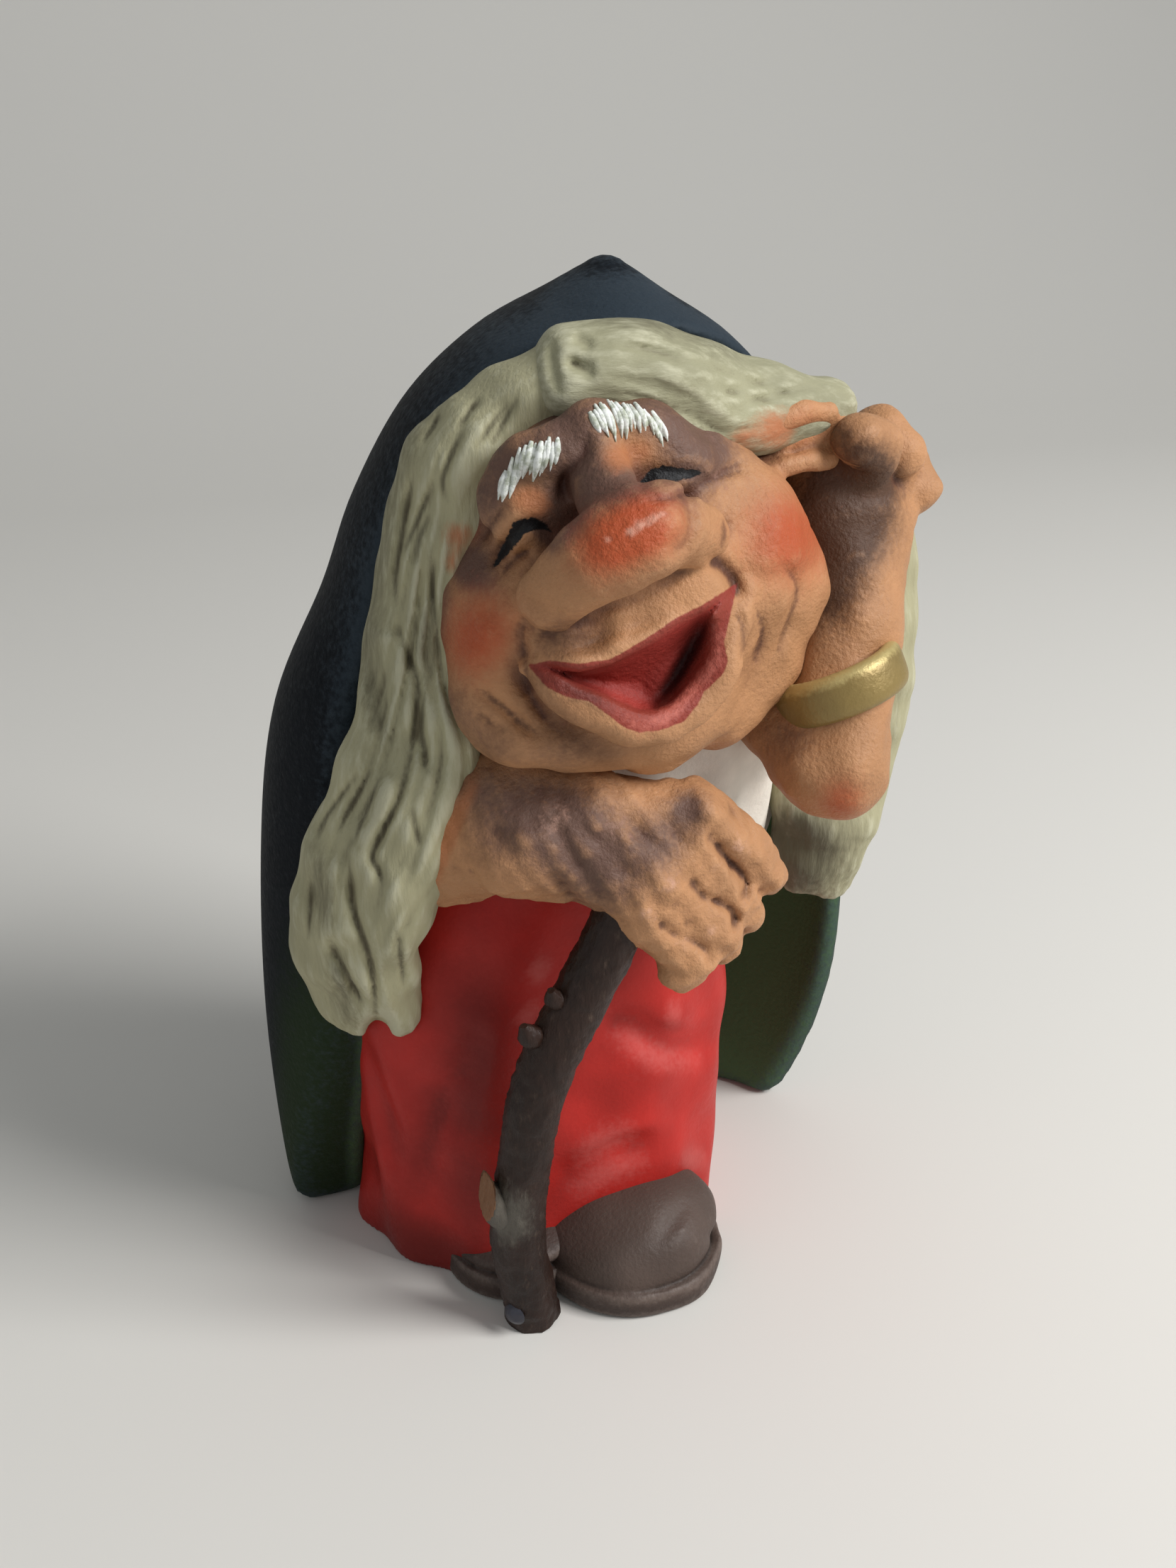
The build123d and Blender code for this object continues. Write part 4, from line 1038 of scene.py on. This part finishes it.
def cloak_coats(clay):
    """Green on the lining, along the front edges and on the hem."""
    height = clay.corners[:, 2]
    lining = np.clip(LINING_START - clay.sample(hollow, clay.spots) / LINING_REACH, 0, 1)
    edge = np.clip(GREEN_START + clay.sample(front, clay.spots) / GREEN_WIDTH, 0, 1)
    edge = edge * np.clip((GREEN_TOP - height) / GREEN_FADE, 0, 1)
    hem = np.clip((HEM_HEIGHT - height) / HEM_HEIGHT, 0, 1)
    return {"green": np.maximum(edge, hem),
            "lining": lining * np.clip((LINING_TOP - height) / LINING_FADE, 0, 1)}


finished(cloak, "hooded_cloak", "cloak", cloak_paint, more=cloak_coats)

# %% [markdown]
# ## Blouse, skirt and shoes
#
# The skirt is a slightly square bell with soft folds, and the pale blouse shows only beside the elbow. On the real
# figure they are one casting with the rest, so they are clay too. A simulation would give folds of its own, and
# these have to lie where the photograph shows them.

# %% The blouse
TORSO = [(60, 4, 2, 33, 20), (84, 7, -2, 33, 21), (104, 9, -8, 31, 22), (116, 8, -10, 25, 20)]
PLEATS, PLEAT_DEPTH, PLEAT_SLANT = 16, 0.5, 7
BLOUSE_GRAIN = 1.6 * GRAIN


def pleats(angle, height):
    """Small slanting folds all round."""
    return PLEAT_DEPTH * np.sin(PLEATS * angle + height / PLEAT_SLANT)


blouse = Clay((-42, -36, 56), (46, 32, 121), BLOUSE_GRAIN)
blouse.field = blouse.bell(TORSO, ripple=pleats)
finished(blouse, "blouse_front", "blouse", blouse_paint)

# %% The skirt's body
SKIRT = [
    (0, -4, 3, 30, 30), (4, -4.2, 3, 32, 32), (45, -4.5, 3, 34.5, 32), (68, -3, 2, 32, 29.5),
    (86, -1, 0, 28, 25)]
SKIRT_FOLDS = 9
SKIRT_FOLD_DEPTH = 0.9
SKIRT_HEIGHT = 86.0
SKIRT_SQUARENESS = 2.6
SKIRT_GRAIN = 1.3 * GRAIN


def skirt_ripple(angle, height):
    """Soft upright folds that fade out towards the waist."""
    return SKIRT_FOLD_DEPTH * np.sin(SKIRT_FOLDS * angle) * np.clip(1 - height / SKIRT_HEIGHT, 0, 1)


skirt = Clay((-46, -37, -3), (38, 41, 91), SKIRT_GRAIN)
skirt.field = skirt.bell(SKIRT, power=SKIRT_SQUARENESS, ripple=skirt_ripple)
print("the skirt has", SKIRT_FOLDS, "upright folds")

# %% The skirt's creases, hem and paint
SKIRT_CREASES = [
    [(-21, -29, 51), (-27, -27, 35.7), (-31, -24, 24)],
    [(-39.2, -13, 43.6), (-37.2, -16.2, 33), (-35.4, -18.1, 22.5)],
    [(-8, -31.3, 15), (-3.4, -31.4, 22), (1.4, -31.4, 25.2), (8, -30.5, 25.6)],
    [(3.5, -30.7, 51.5), (11.7, -29.8, 45), (18.5, -27, 41.2), (24.7, -21.8, 37.4)]]
SKIRT_CREASE_RADIUS, SKIRT_CREASE_TAPER = 4.0, 2.2
SKIRT_CRESTS = [
    [(861, 1450), (900, 1482), (939, 1503), (993, 1500)], [(800, 1655), (850, 1620), (905, 1590), (950, 1578)],
    [(654, 1518), (636, 1600), (618, 1650)]]
HEM_FLARE, HEM_FLARE_RADII = (-28.5, -3, 0), (9.5, 8, 14)
# Behind this y in mm the cloak covers the skirt, which stays inside the cloak's hollow.
COVERED_FROM = 12.0
COVERED_BY = 1
# Pale pink dry brush, with painted highlights along the crests.
BRUSHED_HIGHLIGHT_LINES = [
    [(857, 1446), (893, 1471), (929, 1493), (996, 1496)], [(805, 1645), (850, 1612), (905, 1593)],
    [(800, 1690), (850, 1655), (920, 1632)], [(935, 1428), (964, 1432)], [(960, 1640), (1000, 1632)],
    [(745, 1360), (775, 1378)], [(735, 1420), (760, 1440)]]
# A painted shadow of the twig, a painted shadow of the cloak along the hem, and painted shade in a fold.
STICK_SHADE = [(640, 1330), (665, 1420), (690, 1540), (690, 1680), (690, 1830)]
HEM_SHADE = [(500, 1690), (560, 1745), (620, 1775), (690, 1795), (740, 1800)]
FOLD_SHADE = [(665, 1440), (625, 1560), (590, 1660), (575, 1740)]
for crease in SKIRT_CREASES:
    line = curve(crease)
    ends = np.linspace(-1, 1, len(line)) ** 2
    skirt.rod(line, SKIRT_CREASE_RADIUS - SKIRT_CREASE_TAPER * ends, soft=3.5, cut=True)
skirt.draw([(SKIRT_CRESTS, 2.6, -0.7, 4)])
skirt.egg(HEM_FLARE, HEM_FLARE_RADII, soft=6)
skirt.field = np.maximum(skirt.field, -skirt.axes[2][None, None, :])
covered = skirt.axes[1][None, :, None] > COVERED_FROM
skirt.field = np.where(covered, np.maximum(skirt.field, skirt.bell(HOLLOW) - COVERED_BY), skirt.field)
skirt.knead(size=16, height=0.4, seed=10)
finished(skirt, "red_skirt", "skirt", skirt_paint,
         brushed={"brushed": [(BRUSHED_HIGHLIGHT_LINES, 2.8, 1.0)],
                  "shade": [([STICK_SHADE], 9.0, 1.0), ([HEM_SHADE], 7.0, 1.0), ([FOLD_SHADE], 5.0, 0.6)]})

# %% The shoes
SHOE_PLACES = {"left_shoe": (6.5, -28, 8), "right_shoe": (-12.5, -22, -12)}
SHOE_SIZES = {"left_shoe": 1.0, "right_shoe": 0.8}
SOLE = [(0, 15.4), (1, 16.4), (4.4, 16.7), (5.4, 15.9)]
# Up to about these heights in mm a shoe is darker: the sole of the left shoe, and the whole right shoe as painted
# shade under the skirt.
SOLE_AND_SHADE_TOP = {"left_shoe": 5.0, "right_shoe": 20.0}
SOLE_FADE, SOLE_SHIFT = 3, 1
UPPER_RADIUS, UPPER_MIDDLE, UPPER_SHIFT = 15.9, 7.0, 1.5
UPPER_HEIGHTS = {"left_shoe": 9.8, "right_shoe": 3.5}
UPPER_TILT = -9
SHOE_CREASES = [[(972, 1690), (945, 1730), (918, 1766)], [(985, 1742), (1003, 1741), (1020, 1740)]]
for node, (x, y, turn) in SHOE_PLACES.items():
    shoe = Clay((x - 20, y - 20, -3), (x + 20, y + 23, 24), GRAIN)
    size = SHOE_SIZES[node]
    shoe.field = shoe.bell([(height, x, y + SOLE_SHIFT, size * radius, size * radius) for height, radius in SOLE])
    shoe.egg((x, y + UPPER_SHIFT, UPPER_MIDDLE), (UPPER_RADIUS * size, UPPER_RADIUS * size, UPPER_HEIGHTS[node]),
             (0, UPPER_TILT, turn), soft=0.4)
    shoe.knead(size=12, height=0.3, seed=11)
    shoe.field = np.maximum(shoe.field, -shoe.axes[2][None, None, :])
    shoe.draw([(SHOE_CREASES, 1.5, 0.7, 2)])
    finished(shoe, "painted_" + node, node, shoe_paint,
             more=lambda clay: {"sole_and_shade": np.clip((SOLE_AND_SHADE_TOP[node] - clay.corners[:, 2]) / SOLE_FADE, 0, 1)})

# %% [markdown]
# ## Twig, bracelet and brows
#
# The twig and the tufts of the brows follow paths. Each could be a curve with a bevel, but that stays perfectly
# smooth, so Geometry Nodes makes them: a curve whose points carry a radius is swept into a tube, and a noise along
# its normals gives the surface its lumps. One tree serves both, with its own numbers each time. The bracelet is
# modelled on the arm of the casting, so it is a hoop of clay.

# %% The tree that sweeps a tube along a path


def sweep_tree():
    """A Geometry Nodes tree: a tube along each curve, with lumps on its surface."""
    tree = bpy.data.node_groups.new("swept_tube", "GeometryNodeTree")
    tree.interface.new_socket("Geometry", in_out="INPUT", socket_type="NodeSocketGeometry")
    inputs = {}
    for label, kind in (("Sides", "NodeSocketInt"), ("Step", "NodeSocketFloat"), ("Lump Size", "NodeSocketFloat"),
                        ("Lump Height", "NodeSocketFloat"), ("Material", "NodeSocketMaterial")):
        inputs[label] = tree.interface.new_socket(label, in_out="INPUT", socket_type=kind).identifier
    tree.interface.new_socket("Geometry", in_out="OUTPUT", socket_type="NodeSocketGeometry")
    given = add(tree, "NodeGroupInput").outputs
    path = add(tree, "GeometryNodeResampleCurve", {"Curve": given["Geometry"], "Length": given["Step"]},
               mode="LENGTH")
    ring = add(tree, "GeometryNodeCurvePrimitiveCircle", {"Resolution": given["Sides"], "Radius": 1.0})
    radius = add(tree, "GeometryNodeInputRadius")
    tube = add(tree, "GeometryNodeCurveToMesh", {
        "Curve": path.outputs["Curve"], "Profile Curve": ring.outputs["Curve"],
        "Scale": radius.outputs["Radius"], "Fill Caps": True})
    scale = add(tree, "ShaderNodeMath", {0: 1.0, 1: given["Lump Size"]}, operation="DIVIDE")
    lumps = add(tree, "ShaderNodeTexNoise", {"Scale": scale.outputs[0], "Detail": 3.0, "Roughness": 0.6})
    middle = add(tree, "ShaderNodeMath", {0: lumps.outputs["Fac"], 1: 0.5}, operation="SUBTRACT")
    height = add(tree, "ShaderNodeMath", {0: middle.outputs[0], 1: given["Lump Height"]}, operation="MULTIPLY")
    normal = add(tree, "GeometryNodeInputNormal")
    push = add(tree, "ShaderNodeVectorMath", {0: normal.outputs["Normal"], 3: height.outputs[0]}, operation="SCALE")
    lumpy = add(tree, "GeometryNodeSetPosition", {"Geometry": tube.outputs["Mesh"], "Offset": push.outputs["Vector"]})
    real = add(tree, "GeometryNodeRealizeInstances", {"Geometry": lumpy.outputs["Geometry"]})
    coated = add(tree, "GeometryNodeSetMaterial", {"Geometry": real.outputs["Geometry"],
                                                   "Material": given["Material"]})
    add(tree, "NodeGroupOutput", {"Geometry": coated.outputs["Geometry"]})
    return tree, inputs


SWEEP, SWEEP_INPUTS = sweep_tree()
print("the sweep has", len(SWEEP.nodes), "nodes")

# %% Sweeping a piece


def swept(name, paths, material, node=None, *, sides, step, lump_size, lump_height):
    """A piece swept along paths of (x, y, z, radius), all in mm."""
    lines = bpy.data.curves.new(name, "CURVE")
    lines.dimensions = "3D"
    for path in paths:
        spline = lines.splines.new("POLY")
        spline.points.add(len(path) - 1)
        for point, (px, py, pz, radius) in zip(spline.points, path):
            point.co = (px * MM, py * MM, pz * MM, 1.0)
            point.radius = radius * MM
    source = bpy.data.objects.new(name + "_path", lines)
    bpy.context.collection.objects.link(source)
    sweep = source.modifiers.new("sweep", "NODES")
    sweep.node_group = SWEEP
    settings = {"Sides": sides, "Step": step * MM, "Lump Size": lump_size * MM, "Lump Height": lump_height * MM,
                "Material": material}
    for label, value in settings.items():
        sweep[SWEEP_INPUTS[label]] = value
    depsgraph = bpy.context.evaluated_depsgraph_get()
    mesh = bpy.data.meshes.new_from_object(source.evaluated_get(depsgraph), depsgraph=depsgraph)
    source.modifiers.remove(sweep)
    bpy.data.objects.remove(source)
    mesh.name = name
    print(name, len(mesh.polygons), "faces")
    return placed(name, mesh, node)


# %% The twig
# Dried bark of a twig: dark brown and rubbed in spots, with a grey bloom round the stub and a pale cut end.
bark = paint("weathered_twig_bark", "26160F", [
    (ALL_OVER, 0.05, 0.5, "523C30", 0.45, 0.4),
    ("bloom", 0.1, 1.0, "5F5B52", 0.75, 0.4),
    ("cut", 0.4, 0.6, "7A5233", 1.0, 0.05)],
    roughness=0.5, pits=0.45, pit_size=1.4, mottle=0.4, stretch=(1, 1, 0.4))
STICK_PATH = [
    (-13.6, -37.1, 0.8, 4.7), (-14.4, -37.8, 6, 4.6), (-16.4, -39.4, 20, 4.6), (-15.4, -41.5, 37, 4.3),
    (-12.3, -43, 54, 4.5), (-2.6, -43.5, 75, 4.4), (1.8, -43.7, 85, 4.4)]
STUB_PATH = [(-15.2, -39.4, 21.5, 3.2), (-24, -42.6, 33.5, 2.7)]
BUD_PATHS = [
    [(-13.2, -43, 60, 1.4), (-15.0, -44.8, 62, 2.0), (-16, -45.4, 64.5, 0.6)],
    [(-9.2, -43, 66, 1.2), (-11.0, -44.8, 68, 1.8), (-11.8, -45.4, 70, 0.6)]]
twig = swept("twig_walking_stick", [curve(STICK_PATH, 10), STUB_PATH] + BUD_PATHS, bark, "walking_stick",
             sides=40, step=0.6, lump_size=2.4, lump_height=1.3)

# %% The stub's cut end
CUT_PLACE = np.array([-22.0, -41.7, 30.0])
CUT_HEADING = unit((-1.0, -0.25, 0.1))
CUT_REACH = 6.5
STUB_MIDDLE = np.array([-19.0, -43.0, 28.0])
BLOOM_RADII = (4.0, 4.0, 6.0)
corners = np.array([vertex.co for vertex in twig.data.vertices]) / MM
beyond = np.maximum((corners - CUT_PLACE) @ CUT_HEADING, 0)
near_stub = np.abs(corners[:, 2] - CUT_PLACE[2]) < CUT_REACH
corners = corners - np.where(near_stub, beyond, 0)[:, None] * CUT_HEADING
twig.data.vertices.foreach_set("co", (corners * MM).ravel())
mark(twig.data, "cut", (beyond > 0) & near_stub)
mark(twig.data, "bloom", np.clip(1.5 - np.linalg.norm((corners - STUB_MIDDLE) / BLOOM_RADII, axis=1), 0, 1))
print("the stub's cut end is flat on", int(((beyond > 0) & near_stub).sum()), "corners")

# %% The bracelet
# Brass-coloured paint, brushed thin, with a painted highlight on the upper rim and a dark wash with painted shade in
# the creases.
gold_paint = paint("brushed_gold_paint", "8A7544", [
    ("rim", 1.6, 3.0, "C7B57A", 0.7, 0.5),
    ("crease", 0.1, 0.5, "4A3A22", 0.7, 0.1)], roughness=0.42, pits=0.1, metallic=0.35, specular=0.5)
BRACELET_MIDDLE = np.array([37.8, -32.0, 109.6])
BRACELET_AXIS = unit((-0.36, 0.3, 1.0))
BRACELET_RADIUS, BRACELET_HALF_WIDTH, BRACELET_HALF_THICKNESS = 8.9, 2.3, 1.3
HOOPS, HOOP_POINTS, BRACELET_REACH = 5, 49, 15
side = unit(np.cross(BRACELET_AXIS, (0, 1, 0)))
forth = np.cross(side, BRACELET_AXIS)
turns = np.linspace(0, 2 * math.pi, HOOP_POINTS)[:, None]
bracelet = Clay(BRACELET_MIDDLE - BRACELET_REACH, BRACELET_MIDDLE + BRACELET_REACH, GRAIN)
for rise in np.linspace(-BRACELET_HALF_WIDTH, BRACELET_HALF_WIDTH, HOOPS):
    hoop = BRACELET_RADIUS * (np.cos(turns) * side + np.sin(turns) * forth)
    bracelet.rod(BRACELET_MIDDLE + rise * BRACELET_AXIS + hoop, BRACELET_HALF_THICKNESS, soft=1.5)
finished(bracelet, "gold_bracelet", "bracelet", gold_paint,
         more=lambda clay: {"rim": (clay.corners - BRACELET_MIDDLE) @ BRACELET_AXIS})

# %% The brow tufts
BROW_TUFTS = [
    [(784, 620), (783, 639), (780, 661)], [(773, 619), (769, 646), (763, 669)],
    [(760, 620), (755, 648), (748, 676)], [(747, 625), (741, 653), (734, 678)],
    [(736, 634), (731, 661), (725, 683)], [(727, 647), (722, 672), (714, 702)],
    [(718, 663), (712, 682), (706, 705)], [(834, 579), (842, 595), (850, 610)],
    [(842, 572), (852, 591), (862, 618)], [(853, 568), (865, 589), (871, 620)],
    [(866, 566), (879, 588), (882, 617)], [(879, 566), (890, 587), (894, 610)],
    [(891, 569), (902, 588), (906, 608)], [(904, 575), (914, 593), (919, 611)],
    [(915, 582), (926, 602), (932, 618)], [(926, 594), (935, 611), (940, 627)]]
TUFT_RADII = (0.28, 0.52, 0.58, 0.42, 0.1)
STRANDS, STRAND_GAP, STRAND_JITTER, STRAND_SLIP = 2, 6.5, 1.5, 4
# A sight line that misses the brow ends far from it, so points far from the middle of a strand are left out.
BROW_REACH = 3.0
brow_rng = np.random.default_rng(12)
tufts = []
for line in BROW_TUFTS:
    for strand in range(STRANDS):
        aside = STRAND_GAP * (strand - 0.5) + brow_rng.uniform(-STRAND_JITTER, STRAND_JITTER)
        pixels = curve(np.array(line) + (aside, brow_rng.uniform(-STRAND_SLIP, STRAND_SLIP)), 4)
        size = np.interp(np.linspace(0, 1, len(pixels)), np.linspace(0, 1, len(TUFT_RADII)), TUFT_RADII)
        size = size * brow_rng.uniform(0.6, 1.1)
        places = head.touch(pixels, brow_rng.uniform(-0.1, 0.35))
        near = np.abs(places[:, 1] - np.median(places[:, 1])) < BROW_REACH
        tufts.append([(*place, radius) for place, radius in zip(places[near], size[near])])
swept("brow_tufts", tufts, brow_paint, sides=8, step=0.4, lump_size=0.8, lump_height=0.2)

# %% [markdown]
# ## The nail
#
# A small nail holds the twig's foot. Its CAD solid already has the right dome, so it only gets a steel finish.

# %% The nail
# Dull steel of a hammered clout nail.
nail_steel = paint("hammered_nail_steel", "4C4C53", [], roughness=0.4, pits=0.1, metallic=0.9, specular=0.5)
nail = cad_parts["stick_nail"]
nail.data.materials.clear()
nail.data.materials.append(nail_steel)
print("the nail keeps its CAD shape")

# %% [markdown]
# ## The studio
#
# A plain pale floor that rises into a backdrop, a large soft light from the right, where the photograph's window was,
# and a weak fill from the left. A sharp corner behind the figure would draw a line across the picture, so the floor
# curves up instead.

# %% The floor
# All in metres: where the floor begins and ends, its half width, the radius of the curve and the wall's height.
FLOOR_FRONT, FLOOR_BACK, FLOOR_HALF, COVE, WALL = -2.0, 0.5, 2.5, 0.5, 2.0
COVE_STEPS = 13
profile = [(FLOOR_FRONT, 0.0)]
for angle in np.linspace(0, math.pi / 2, COVE_STEPS):
    profile.append((FLOOR_BACK + COVE * math.sin(angle), COVE * (1 - math.cos(angle))))
profile.append((FLOOR_BACK + COVE, WALL))
corners = [(x, y, z) for y, z in profile for x in (-FLOOR_HALF, FLOOR_HALF)]
strips = [(2 * k, 2 * k + 1, 2 * k + 3, 2 * k + 2) for k in range(len(profile) - 1)]
floor_mesh = bpy.data.meshes.new("floor")
floor_mesh.from_pydata(corners, [], strips)
floor_mesh.shade_smooth()
floor = bpy.data.objects.new("floor", floor_mesh)
bpy.context.collection.objects.link(floor)
floor_material = bpy.data.materials.new("pale_floor")
floor_material.use_nodes = True
floor_shader = floor_material.node_tree.nodes["Principled BSDF"].inputs
floor_shader["Base Color"].default_value = linear("D8D5CF")
floor_shader["Roughness"].default_value = 0.8
floor_mesh.materials.append(floor_material)
floor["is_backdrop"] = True
print("the floor has", len(strips), "strips")

# %% The light


def lamp(name, place, target, size, power):
    """A soft square lamp at a place in metres, turned towards a target."""
    data = bpy.data.lights.new(name, "AREA")
    data.size = size
    data.energy = power
    light = bpy.data.objects.new(name, data)
    back = unit(np.subtract(place, target))
    right = unit(np.cross((0, 0, 1), back))
    turn = np.array([right, np.cross(back, right), back]).T
    light.matrix_world = Matrix.Translation(place) @ Matrix(turn.tolist()).to_4x4()
    bpy.context.collection.objects.link(light)
    print(name, "lamp of", power, "W")


FIGURE_MIDDLE = (0, 0, 0.09)
lamp("window", (0.55, -0.42, 0.65), FIGURE_MIDDLE, size=0.4, power=9.0)
lamp("fill", (-0.7, -0.6, 0.4), FIGURE_MIDDLE, size=0.8, power=0.6)
world = bpy.data.worlds.new("room")
world.use_nodes = True
sky = world.node_tree.nodes["Background"].inputs
sky["Color"].default_value = linear("DDE2E6")
sky["Strength"].default_value = 0.45
bpy.context.scene.world = world
bpy.context.scene.view_settings.view_transform = "Standard"

# %% [markdown]
# ## The sizes
#
# Both the CAD model's box and the visual model's box are printed, in mm.

# %% The sizes
visual_box = [list(corner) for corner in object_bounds()]
for label, (low, high) in (("CAD", cad_box), ("visual", visual_box)):
    print(label, "box in mm", [round(v / MM, 1) for v in low], [round(v / MM, 1) for v in high])
